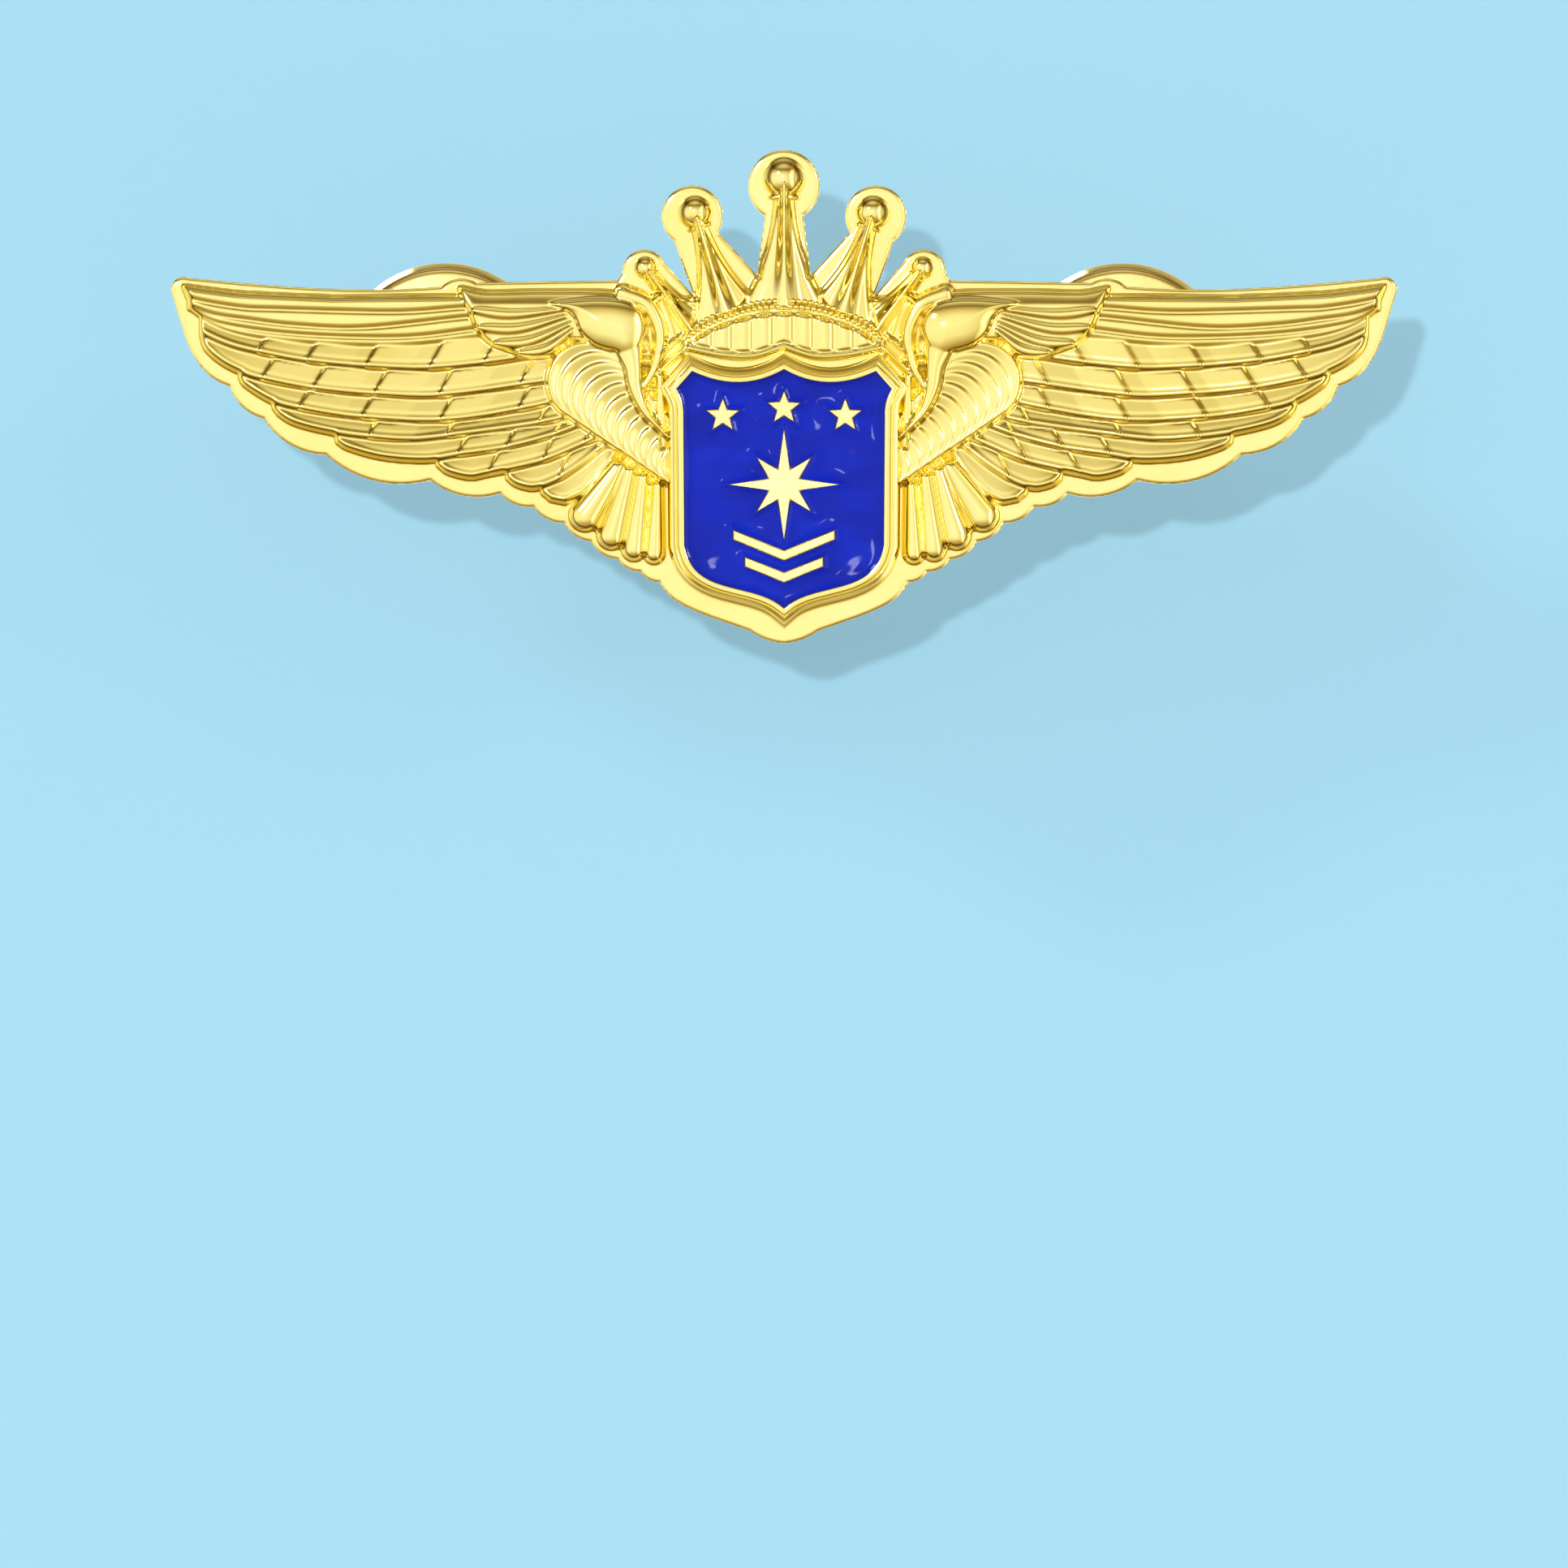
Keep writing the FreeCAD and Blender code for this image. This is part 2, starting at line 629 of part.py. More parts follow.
def clutch_bridge(side):
    """An hourglass strap arched over the needle's point, with a rib pressed up along its middle."""
    plan = plan_sketch(f"{side}_bridge_plan", BRIDGE_WAIST, BRIDGE_PLAN)
    strap_blank = pad(f"{side}_strap_blank", plan, f"Dims.bridge_top + {BLANK_CLEAR}")
    strap = common(f"{side}_strap", arch(f"{side}_strap_arch", 0), strap_blank)
    radius = size("rib_radius")
    reach = size("rib_length") / 2 - radius
    rib_steps = [
        ("line", (radius, reach)),
        ("arc", (0, reach + radius), (-radius, reach)),
        ("line", (-radius, -reach)),
        ("arc", (0, -reach - radius), (radius, -reach)),
    ]
    rib_plan = plan_sketch(f"{side}_rib_plan", (radius, -reach), rib_steps)
    rib_blank = pad(f"{side}_rib_blank", rib_plan, f"Dims.bridge_top + {BLANK_CLEAR}")
    rib = common(f"{side}_rib", arch(f"{side}_rib_arch", size("rib_rise")), rib_blank)
    return fuse(f"{side}_clutch_bridge", [strap, rib])


def clutch_spring_base(side):
    """The flat middle of the spring, on the cup's floor, with a hole for the needle."""
    leaf = box(
        f"{side}_spring_leaf",
        (-SPRING_HALF, -SPRING_HALF_WIDE, size("cup_floor")),
        (2 * SPRING_HALF, 2 * SPRING_HALF_WIDE, "Dims.spring_sheet"),
    )
    hole = doc.addObject("Part::Cylinder", f"{side}_spring_hole")
    hole.setExpression("Radius", "Dims.cup_hole")
    hole.setExpression("Height", "Dims.bridge_top")
    return cut(f"{side}_clutch_spring_base", leaf, hole)


def clutch_wing(side, letter):
    """An oval squeeze wing that leans outwards, with a rolled knuckle and the jaw at its foot."""
    name = f"{side}_clutch_wing_{letter}"
    plan = plan_sketch(name + "_plan", WING_PLAN_START, WING_PLAN)
    lean = FreeCAD.Rotation(FreeCAD.Vector(0, 1, 0), -size("wing_slope"))
    foot = FreeCAD.Vector(WING_ROOT, 0, JAW_LOW)
    plan.Placement = FreeCAD.Placement(foot, lean)
    plate = pad(name + "_plate", plan, "Dims.wing_sheet")
    blank = box(
        name + "_jaw_blank",
        (JAW_INNER, -WING_ROOT_HALF, JAW_LOW),
        (JAW_OUTER - JAW_INNER, 2 * WING_ROOT_HALF, "Dims.wing_sheet"),
    )
    notch = doc.addObject("Part::Cylinder", name + "_notch")
    notch.setExpression("Radius", "Dims.jaw_gap")
    notch.setExpression("Height", "Dims.bridge_top")
    jaw = cut(name + "_jaw", blank, notch)
    knuckle = doc.addObject("Part::Cylinder", name + "_knuckle")
    knuckle.Radius = KNUCKLE_RADIUS
    knuckle.Height = 2 * KNUCKLE_HALF
    middle = FreeCAD.Vector(KNUCKLE_ALONG, KNUCKLE_HALF, size("wing_sheet") / 2)
    across = FreeCAD.Rotation(FreeCAD.Vector(1, 0, 0), 90)
    knuckle.Placement = plan.Placement.multiply(FreeCAD.Placement(middle, across))
    return fuse(name, [plate, jaw, knuckle])


nodes = {"badge_casting": badge_casting, "shield_enamel": shield_enamel}
for side, sign in SIDES.items():
    base = turned_body(f"{side}_post_base", BASE_SECTION, {3: 0.2})
    needle = turned_body(f"{side}_post_needle", NEEDLE_SECTION, {7: 0.12})
    cup = turned_body(f"{side}_clutch_cup", CUP_SECTION, {1: 0.3, 2: 0.25})
    place_on_post(base, sign, "0")
    place_on_post(needle, sign, "0")
    clutch_pieces = [cup, clutch_bridge(side), clutch_spring_base(side)]
    for piece in clutch_pieces:
        place_on_post(piece, sign, "Dims.clutch_gap", size("clutch_turn"))
    wings = [clutch_wing(side, "a"), clutch_wing(side, "b")]
    for wing, half_turn in zip(wings, (0, 180)):
        place_on_post(wing, sign, "Dims.clutch_gap", size("clutch_turn") + half_turn)
    for piece in [base, needle] + clutch_pieces + wings:
        nodes[piece.Name] = piece

doc.recompute()

# ---------------------------------------------------------------- checks and files

for item in doc.Objects:
    if "Invalid" in item.State or "Error" in item.State:
        raise RuntimeError(f"{item.Name} failed: {item.State}")
os.makedirs("parts", exist_ok=True)
for node, item in nodes.items():
    item.Label = node
    shape = item.Shape
    if shape.isNull() or not shape.isValid():
        raise RuntimeError(f"{node} has no valid shape")
    if len(shape.Solids) != 1:
        raise RuntimeError(f"{node} has {len(shape.Solids)} solids")
    print(f"{node}: {shape.Volume:.2f} mm3, faces {len(shape.Faces)}")
for node, item in nodes.items():
    item.Shape.exportStep(f"parts/{node}.step")
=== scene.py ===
import math
import bmesh
import bpy
import numpy as np
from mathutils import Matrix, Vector


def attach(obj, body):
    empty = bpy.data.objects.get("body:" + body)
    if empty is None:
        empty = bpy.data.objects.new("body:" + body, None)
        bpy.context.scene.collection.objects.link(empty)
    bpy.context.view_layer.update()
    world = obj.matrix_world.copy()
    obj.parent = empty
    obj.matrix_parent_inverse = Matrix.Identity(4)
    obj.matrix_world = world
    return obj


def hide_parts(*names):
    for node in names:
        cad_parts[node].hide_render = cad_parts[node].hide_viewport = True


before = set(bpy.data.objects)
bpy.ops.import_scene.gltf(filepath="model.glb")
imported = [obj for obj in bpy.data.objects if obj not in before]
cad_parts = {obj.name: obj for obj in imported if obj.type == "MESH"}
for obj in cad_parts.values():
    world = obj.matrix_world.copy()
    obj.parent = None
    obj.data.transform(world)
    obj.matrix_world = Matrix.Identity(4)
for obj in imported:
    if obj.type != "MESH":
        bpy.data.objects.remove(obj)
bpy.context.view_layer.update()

# Shapes are drawn in millimetres on the badge's front: x across, z up, and a height that stands
# out of the plate towards -Y. A mesh is scaled to metres when it is made.
MM = 0.001
PLATE = 1.7  # the plate's thickness behind the relief
STEP = 0.065  # spacing of the relief's grid
EDGE_WIDE, EDGE_DEEP = 0.18, 0.1  # the rounding of the plate's outline
NEAR = 0.6  # how far from an outline its depth is exact, unless more is needed
rng = np.random.default_rng(7)


# -------- mesh helpers


def add_object(name, data):
    """A new object in the scene."""
    made = bpy.data.objects.new(name, data)
    bpy.context.collection.objects.link(made)
    return made


def fetch(items, name, width, kind):
    """One property of all a mesh's points, edges or triangles, a row for each."""
    values = np.empty(width * len(items), kind)
    items.foreach_get(name, values)
    return values.reshape(-1, width)


def make_piece(name, points, faces, body, slot, *materials):
    """A mesh object from points in mm and faces as index lists, riding on a CAD body."""
    mesh = bpy.data.meshes.new(name)
    points = np.asarray(points, float) * MM
    groups = [np.asarray(group, np.int64) for group in faces if len(group)]
    corners = np.concatenate([group.ravel() for group in groups])
    sizes = np.concatenate([np.full(len(group), group.shape[1]) for group in groups])
    mesh.vertices.add(len(points))
    mesh.vertices.foreach_set("co", points.ravel())
    mesh.loops.add(len(corners))
    mesh.loops.foreach_set("vertex_index", corners)
    mesh.polygons.add(len(sizes))
    mesh.polygons.foreach_set("loop_start", np.concatenate([[0], np.cumsum(sizes)[:-1]]))
    mesh.polygons.foreach_set("loop_total", sizes)
    mesh.polygons.foreach_set("use_smooth", np.ones(len(sizes), bool))
    mesh.update(calc_edges=True)
    mesh.validate()
    piece = add_object(name, mesh)
    for material in materials:
        mesh.materials.append(material)
    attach(piece, body)
    return piece


def sharpen(piece, degrees):
    """Splits the shading where two faces meet at more than this angle."""
    piece.data.set_sharp_from_angle(angle=math.radians(degrees))


def strip_faces(count, rings, closed_across, closed_along):
    """Quads of a net of rings of count points each."""
    across = count if closed_across else count - 1
    along = rings if closed_along else rings - 1
    i, j = np.meshgrid(np.arange(across), np.arange(along))
    i, j = i.ravel(), j.ravel()
    i2, j2 = (i + 1) % count, (j + 1) % rings
    return np.stack([j * count + i, j * count + i2, j2 * count + i2, j2 * count + i], 1)


def joined(shapes):
    """One shape from several, each given as its points and its groups of faces."""
    points, faces, count = [], [], 0
    for shape_points, shape_faces in shapes:
        points.append(shape_points)
        faces += [group + count for group in shape_faces]
        count += len(shape_points)
    return np.concatenate(points), faces


def loops_at(node, y_mm):
    """Closed outlines, as arrays of (x, z) in mm, of the flat faces of a CAD node that lie at y."""
    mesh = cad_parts[node].data
    mesh.calc_loop_triangles()
    points = fetch(mesh.vertices, "co", 3, float) / MM
    corners = fetch(mesh.loop_triangles, "vertices", 3, np.int32)
    points, same = np.unique(np.round(points, 4), axis=0, return_inverse=True)
    triangles = same.reshape(-1)[corners]
    level = np.abs(points[:, 1] - y_mm) < 2e-3
    flat = triangles[level[triangles].all(1)]
    edges = {(a, b) for t in flat.tolist() for a, b in ((t[0], t[1]), (t[1], t[2]), (t[2], t[0]))}
    following = {a: b for a, b in edges if (b, a) not in edges}
    loops = []
    while following:
        start, here = following.popitem()
        loop = [start]
        while here != start:
            loop.append(here)
            here = following.pop(here)
        loops.append(points[loop][:, [0, 2]])
    return sorted(loops, key=lambda loop: -np.ptp(loop[:, 0]))


# -------- the relief's grid


class Grid:
    """A regular grid over a rectangle, with distances to outlines and a mesh cut along one."""

    def __init__(self, x, z, step):
        self.x, self.z, self.step = x, z, step
        self.X, self.Z = np.meshgrid(x, z)

    def window(self, low, high, reach):
        """The part of the grid within reach of a box."""
        columns = slice(*np.searchsorted(self.x, [low[0] - reach, high[0] + reach]))
        rows = slice(*np.searchsorted(self.z, [low[1] - reach, high[1] + reach]))
        return rows, columns

    def to_line(self, near, a, b):
        """Distance to a line from a to b, and how far along it the nearest point is."""
        dx, dz = b[0] - a[0], b[1] - a[1]
        px, pz = self.X[near] - a[0], self.Z[near] - a[1]
        share = np.clip((px * dx + pz * dz) / max(dx * dx + dz * dz, 1e-12), 0, 1)
        return np.hypot(px - share * dx, pz - share * dz), share

    def depth(self, loops, reach):
        """How deep inside closed outlines each point lies (negative outside), exact up to reach."""
        nearest = np.full(self.X.shape, float(reach))
        inside = np.zeros(self.X.shape, bool)
        for loop in loops:
            for a, b in zip(loop, np.roll(loop, -1, axis=0)):
                near = self.window(np.minimum(a, b), np.maximum(a, b), reach)
                nearest[near] = np.minimum(nearest[near], self.to_line(near, a, b)[0])
                low, high = sorted((a[1], b[1]))
                rows = slice(*np.searchsorted(self.z, [low, high]))
                if rows.start < rows.stop:
                    crossing = a[0] + (self.z[rows] - a[1]) * (b[0] - a[0]) / (b[1] - a[1])
                    inside[rows] ^= self.x[None, :] < crossing[:, None]
        return np.where(inside, nearest, -nearest)

    def bar_depth(self, points, radii):
        """How deep inside a bar of changing radius each point lies, in mm and as a share."""
        depth = np.full(self.X.shape, -1.0)
        share = np.zeros(self.X.shape)
        for a, b, ra, rb in zip(points, points[1:], radii, radii[1:]):
            near = self.window(np.minimum(a, b), np.maximum(a, b), max(ra, rb) + self.step)
            away, along = self.to_line(near, a, b)
            radius = ra + (rb - ra) * along
            depth[near] = np.maximum(depth[near], radius - away)
            share[near] = np.maximum(share[near], 1 - away / radius)
        return depth, np.clip(share, 0, 1)

    def mesh_inside(self, depth):
        """Marching squares: points, faces by corner count, and the rim's point pairs."""
        tiny = 0.06 * self.step
        d = np.where(np.abs(depth) < tiny, np.where(depth < 0, -tiny, tiny), depth)
        solid = d > 0
        ids = np.full(d.shape, -1)
        ids[solid] = np.arange(solid.sum())
        points = [np.stack([self.X[solid], self.Z[solid]], 1)]
        total = len(points[0])
        crossings = []
        for first, second in ((np.s_[:, :-1], np.s_[:, 1:]), (np.s_[:-1], np.s_[1:])):
            cut = solid[first] != solid[second]
            share = (d[first] / (d[first] - d[second] + (d[first] == d[second])))[cut]
            ends = [f[first][cut] * (1 - share) + f[second][cut] * share for f in (self.X, self.Z)]
            points.append(np.stack(ends, 1))
            table = np.full(cut.shape, -1)
            table[cut] = total + np.arange(cut.sum())
            total += int(cut.sum())
            crossings.append(table)
        over, up = crossings
        corner = [ids[:-1, :-1], ids[:-1, 1:], ids[1:, 1:], ids[1:, :-1]]
        side = [over[:-1], up[:, 1:], over[1:], up[:, :-1]]
        case = sum((c >= 0).astype(int) << k for k, c in enumerate(corner))
        faces, rim = {3: [], 4: [], 5: []}, []
        for number in range(1, 16):
            here = case == number
            for ring in case_rings(number):
                columns = [(corner if kind == "c" else side)[k][here] for kind, k in ring]
                faces[len(ring)].append(np.stack(columns, 1))
                for k, (one, two) in enumerate(zip(ring, ring[1:] + ring[:1])):
                    if one[0] == "s" and two[0] == "s":
                        rim.append(np.stack([columns[k], columns[(k + 1) % len(ring)]], 1))
        joined = [np.concatenate(group) for group in faces.values() if group]
        return np.concatenate(points), joined, np.concatenate(rim)


def case_rings(number):
    """The polygons of one marching-squares case, as rings of corners and side crossings."""
    solid = [bool(number >> k & 1) for k in range(4)]
    if number in (5, 10):
        return [[("s", (k - 1) % 4), ("c", k), ("s", k)] for k in range(4) if solid[k]]
    ring = []
    for k in range(4):
        if solid[k]:
            ring.append(("c", k))
        if solid[k] != solid[(k + 1) % 4]:
            ring.append(("s", k))
    return [ring]


def slab(name, grid, depth, front, back, slot, *materials):
    """A closed piece of the badge: its outline is where depth is 0, its faces two height fields."""
    flat, faces, rim = grid.mesh_inside(depth)
    count = len(flat)
    columns = (flat[:, 0] - grid.x[0]) / grid.step
    rows = (flat[:, 1] - grid.z[0]) / grid.step
    points = []
    for field in (front, back):
        heights = sample(field, columns, rows)
        points.append(np.stack([flat[:, 0], -heights, flat[:, 1]], 1))
    walls = np.stack([rim[:, 1], rim[:, 0], rim[:, 0] + count, rim[:, 1] + count], 1)
    backs = [group[:, ::-1] + count for group in faces]
    groups = faces + [walls] + backs
    piece = make_piece(name, np.concatenate(points), groups, "badge", slot, *materials)
    if len(materials) > 1:
        fronts = sum(len(group) for group in faces) + len(walls)
        chosen = np.zeros(len(piece.data.polygons), np.int32)
        chosen[fronts:] = 1
        piece.data.polygons.foreach_set("material_index", chosen)
    crease(piece, np.concatenate([rim, rim + count]))
    return piece


def crease(piece, pairs):
    """Marks the edges between the given pairs of points as sharp."""
    ends = fetch(piece.data.edges, "vertices", 2, np.int32)
    ends = np.sort(ends.astype(np.int64), axis=1)
    pairs = np.sort(pairs, axis=1)
    total = len(piece.data.vertices)
    sharp = np.isin(ends[:, 0] * total + ends[:, 1], pairs[:, 0] * total + pairs[:, 1])
    marks = piece.data.attributes.new("sharp_edge", "BOOLEAN", "EDGE")
    marks.data.foreach_set("value", sharp)


def sample(field, columns, rows):
    """Values of a grid field between its points."""
    i = np.clip(columns.astype(int), 0, field.shape[1] - 2)
    j = np.clip(rows.astype(int), 0, field.shape[0] - 2)
    u, v = columns - i, rows - j
    low = field[j, i] * (1 - u) + field[j, i + 1] * u
    high = field[j + 1, i] * (1 - u) + field[j + 1, i + 1] * u
    return low * (1 - v) + high * v


def quarter(depth, width):
    """A rounded edge: 0 at the outline, 1 from width inwards, as a quarter circle."""
    return np.sqrt(1 - (1 - np.clip(depth / width, 0, 1)) ** 2)


def ease(value):
    """A smooth step from 0 to 1."""
    value = np.clip(value, 0, 1)
    return value * value * (3 - 2 * value)


def soften(field, passes):
    """A small blur that keeps creases from looking cut."""
    for _ in range(passes):
        padded = np.pad(field, 1, mode="edge")
        field = (padded[:-2, 1:-1] + padded[2:, 1:-1] + 2 * field) / 4
        padded = np.pad(field, 1, mode="edge")
        field = (padded[1:-1, :-2] + padded[1:-1, 2:] + 2 * field) / 4
    return field


def smooth_curve(points, count):
    """Points along a Catmull-Rom curve through the given ones."""
    points = np.asarray(points, float)
    padded = np.vstack([2 * points[0] - points[1], points, 2 * points[-1] - points[-2]])
    t = np.linspace(0, len(points) - 1 - 1e-9, count)
    k, f = t.astype(int), (t % 1)[:, None]
    a, b, c, d = padded[k], padded[k + 1], padded[k + 2], padded[k + 3]
    return 0.5 * (
        2 * b + (c - a) * f + (2 * a - 5 * b + 4 * c - d) * f**2 + (3 * b - 3 * c + d - a) * f**3
    )


def overlay(field, depth, top, cliff=0.16):
    """Lays a shape with its own top over a height field, with a short slope at its edge."""
    share = ease(depth / cliff)
    return field * (1 - share) + top * share


# -------- materials


def new_material(name):
    """A material with its node tree and its shader."""
    material = bpy.data.materials.new(name)
    material.use_nodes = True
    tree = material.node_tree
    return material, tree, tree.nodes["Principled BSDF"]


def feed(tree, node, inputs):
    """Links a node's inputs to other nodes' outputs, or sets them to values."""
    for name, value in inputs.items():
        if isinstance(value, bpy.types.NodeSocket):
            tree.links.new(value, node.inputs[name])
        else:
            node.inputs[name].default_value = value


def add_node(tree, kind, inputs):
    """A new node with its inputs fed."""
    node = tree.nodes.new(kind)
    feed(tree, node, inputs)
    return node


def vector_math(tree, operation, first, second):
    """A node that combines two vectors."""
    node = add_node(tree, "ShaderNodeVectorMath", {0: first, 1: second})
    node.operation = operation
    return node


def noise(tree, scale, detail=3.0, rough=0.5, stretch=None):
    """A noise field in the object's own coordinates, in features per metre."""
    source = tree.nodes.new("ShaderNodeTexCoord").outputs["Object"]
    if stretch:
        mapping = add_node(tree, "ShaderNodeMapping", {"Scale": stretch, "Vector": source})
        source = mapping.outputs["Vector"]
    inputs = {"Scale": scale, "Detail": detail, "Roughness": rough, "Vector": source}
    return add_node(tree, "ShaderNodeTexNoise", inputs).outputs["Fac"]


def spread(tree, value, low=0, high=1, start=0.3, stop=0.7):
    """Maps a value, a noise as a rule, to a range."""
    inputs = {"From Min": start, "From Max": stop, "To Min": low, "To Max": high, "Value": value}
    return add_node(tree, "ShaderNodeMapRange", inputs).outputs["Result"]


def blend_colours(tree, value, first, second):
    """A mix of two colours, the first where the value is 0."""
    node = tree.nodes.new("ShaderNodeMix")
    node.data_type = "RGBA"
    feed(tree, node, {6: (*first, 1), 7: (*second, 1), "Factor": value})
    return node.outputs[2]


def bump(tree, height, distance, strength, under=None):
    """A normal tilted by a height field, over another such normal if one is given."""
    inputs = {"Strength": strength, "Distance": distance, "Height": height}
    if under:
        inputs["Normal"] = under
    return add_node(tree, "ShaderNodeBump", inputs).outputs["Normal"]


RIPPLE_TALL, GRAIN_TALL = 0.0002, 0.00004  # bump heights in metres


def gold(name, pale, deep, smooth, rough, ripple, grain):
    """Polished or blasted gold plate: two tones, uneven polish, slow ripples and fine grain."""
    material, tree, shader = new_material(name)
    tone = spread(tree, noise(tree, 160, 4))
    waves = bump(tree, noise(tree, 420, 2), RIPPLE_TALL, ripple)
    feed(tree, shader, {
        "Metallic": 1.0,
        "Base Color": blend_colours(tree, tone, pale, deep),
        "Roughness": spread(tree, noise(tree, 900, 5, 0.6), smooth, rough),
        "Normal": bump(tree, noise(tree, 9000, 3, 0.7), GRAIN_TALL, grain, waves),
    })
    return material


# Colours, then roughness from and to, and the strengths of the ripples and of the grain.
PALE_GOLD, DEEP_GOLD = (0.98, 0.86, 0.34), (0.96, 0.81, 0.27)
polished = gold("polished_gold", PALE_GOLD, DEEP_GOLD, 0.06, 0.13, 0.08, 0.04)
blasted = gold("blasted_gold", (0.98, 0.86, 0.36), (0.94, 0.78, 0.27), 0.12, 0.26, 0.1, 0.5)
emblem_gold = gold("emblem_gold", (0.96, 0.86, 0.42), (0.9, 0.74, 0.28), 0.12, 0.3, 0.25, 0.3)
post_gold = gold("post_gold", PALE_GOLD, (0.94, 0.74, 0.22), 0.08, 0.2, 0.1, 0.1)
clutch_gold = gold("clutch_gold", (0.98, 0.86, 0.38), (0.94, 0.77, 0.27), 0.08, 0.2, 0.14, 0.1)


def blue_enamel():
    """Glossy cobalt enamel: deep and light swirls under a clear, slightly wavy surface."""
    material, tree, shader = new_material("blue_enamel_gloss")
    swirl = spread(tree, noise(tree, 330, 3, 0.5, (1, 1, 2.2)))
    colour = blend_colours(tree, swirl, (0.001, 0.008, 0.28), (0.002, 0.014, 0.41))
    feed(tree, shader, {
        "Base Color": colour,
        "Roughness": spread(tree, noise(tree, 2500), 0.03, 0.08),
        "Specular IOR Level": 0.16,
        "Normal": bump(tree, noise(tree, 500, 1), RIPPLE_TALL, 0.12),
    })
    return material


enamel_blue = blue_enamel()

# -------- the badge's relief

# Right half of the relief: each line from the wing's tip inwards.
LEADING_LINES = [
    [(31.51, 4.51), (28.51, 4.13), (23.63, 3.91), (17.12, 3.97)],
    [(31.3, 4.2), (30.94, 3.78), (28.5, 3.34), (26.39, 3.24), (20.37, 3.10), (16.88, 3.32)],
    [(31.1, 3.45), (29.8, 2.96), (28.0, 2.69), (25.58, 2.40), (22.0, 2.28), (16.63, 2.83)],
    [(31.1, 3.29), (29.3, 2.48), (26.07, 1.99), (22.0, 1.78), (19.2, 1.83), (16.3, 2.18)],
    [(31.03, 3.21), (29.97, 2.48), (28.5, 1.94), (26.55, 1.61), (23.63, 1.37), (20.7, 1.31),
     (18.26, 1.47), (15.82, 1.79)],
]
ROW_LINES = [
    [(30.54, 1.86), (29.3, 1.31), (28.0, 0.93), (25.25, 0.395), (22.16, 0.086), (18.75, -0.044),
     (15.66, 0.23), (13.06, 0.61)],
    [(30.54, 1.83), (30.29, 1.09), (29.48, 0.36), (28.5, -0.16), (27.53, -0.53), (24.6, -1.1),
     (21.51, -1.39), (18.1, -1.48), (13.87, -0.94), (12.4, -0.74)],
    [(28.5, -0.42), (28.18, -0.86), (26.88, -1.67), (25.42, -2.11), (22.16, -2.6),
     (17.77, -2.76), (13.87, -2.2), (11.75, -1.75)],
    [(26.72, -2.0), (26.39, -2.4), (25.6, -2.86), (24.1, -3.26), (22.16, -3.57), (19.9, -3.75),
     (17.93, -3.62), (12.9, -2.92), (11.1, -2.53)],
    [(23.46, -3.74), (22.8, -4.16), (21.0, -4.65), (18.75, -4.81), (17.1, -4.57), (14.5, -4.19),
     (12.08, -3.54), (10.6, -2.97)],
    [(18.18, -4.97), (17.6, -5.41), (16.47, -5.69), (15.5, -5.54), (12.57, -4.87), (10.6, -4.06),
     (9.8, -3.7)],
    [(14.55, -5.65), (14.03, -6.06), (13.06, -6.26), (11.9, -5.9), (10.6, -5.09), (9.3, -4.03)],
    [(12.73, -6.39), (12.24, -6.83), (11.43, -6.99), (10.45, -6.55), (9.48, -5.57),
     (8.83, -4.68)],
]
# Where one feather ends over the next in each row.
ROW_MARKS = [
    [27.45, 24.85, 21.72, 18.34, 15.45],
    [27.12, 24.44, 21.24, 17.85, 13.62],
    [25.25, 21.95, 17.82, 13.75],
    [21.67, 17.6, 12.76],
    [16.96, 14.44, 11.95],
    [15.33, 12.49, 10.37],
    [11.67, 9.77],
    [],
]
WING_TIP_EDGE = [(31.19, 3.7), (31.19, 3.13), (30.94, 2.48)]
FIELD_INSIDE = [(8.0, -3.0), (6.5, -3.0), (6.5, 3.97)]
ROW_BASE, ROW_RISE, RISER, VEIN = 0.5, 0.3, 0.24, 0.02
LIP, LIP_CORNER = 0.15, 0.42
LIP_RUN = 2.4  # how far a feather's lip fades inwards
STRIP_TOP, STRIP_STEP, STRIP_DOME, STRIP_EDGE = 0.86, 0.09, 0.1, 0.24

# Finger feathers below the neck: root, tip, radius at each.
FINGERS = [
    ((8.7, -5.1), (10.4, -7.55), 0.55, 0.86),
    ((8.1, -5.3), (9.03, -8.6), 0.45, 0.76),
    ((7.4, -5.6), (7.85, -9.3), 0.42, 0.66),
    ((6.65, -6.0), (6.8, -9.55), 0.36, 0.56),
]
FINGER_FLOOR = [(8.9, -4.4), (11.1, -7.2), (9.6, -8.8), (8.2, -9.6), (6.5, -9.9), (6.2, -4.4)]
NECK_RIBS = 11
NECK_TOP, NECK_FOOT = (10.3, -0.55, 2.2), (5.35, -5.0, 1.3)

COVERT = [
    (17.04, 4.4), (16.6, 3.3), (16.2, 2.3), (15.5, 1.45), (14.4, 0.95), (13.2, 0.6),
    (12.1, 0.75), (11.2, 1.5), (9.6, 1.4), (8.0, 1.6), (7.9, 3.4), (8.6, 4.15), (12.5, 4.25),
    (15.5, 4.2),
]
COVERT_FEATHERS = [
    [(11.6, 3.2), (14.2, 2.95), (16.25, 3.15)],
    [(11.4, 2.85), (13.9, 2.2), (16.0, 2.25)],
    [(11.2, 2.45), (13.3, 1.55), (15.15, 1.42)],
    [(11.1, 2.1), (12.4, 1.15), (13.9, 0.92)],
]
LOBE = [
    (12.4, 3.55), (11.2, 2.9), (10.75, 2.0), (10.0, 1.3), (9.0, 0.95), (8.1, 0.75),
    (7.35, 1.35), (7.1, 2.35), (7.5, 3.3), (8.6, 3.8), (10.4, 3.85),
]
TAIL = [(8.3, 1.8), (7.9, 0.3), (7.75, -0.9), (7.2, -2.2), (6.05, -3.5)]
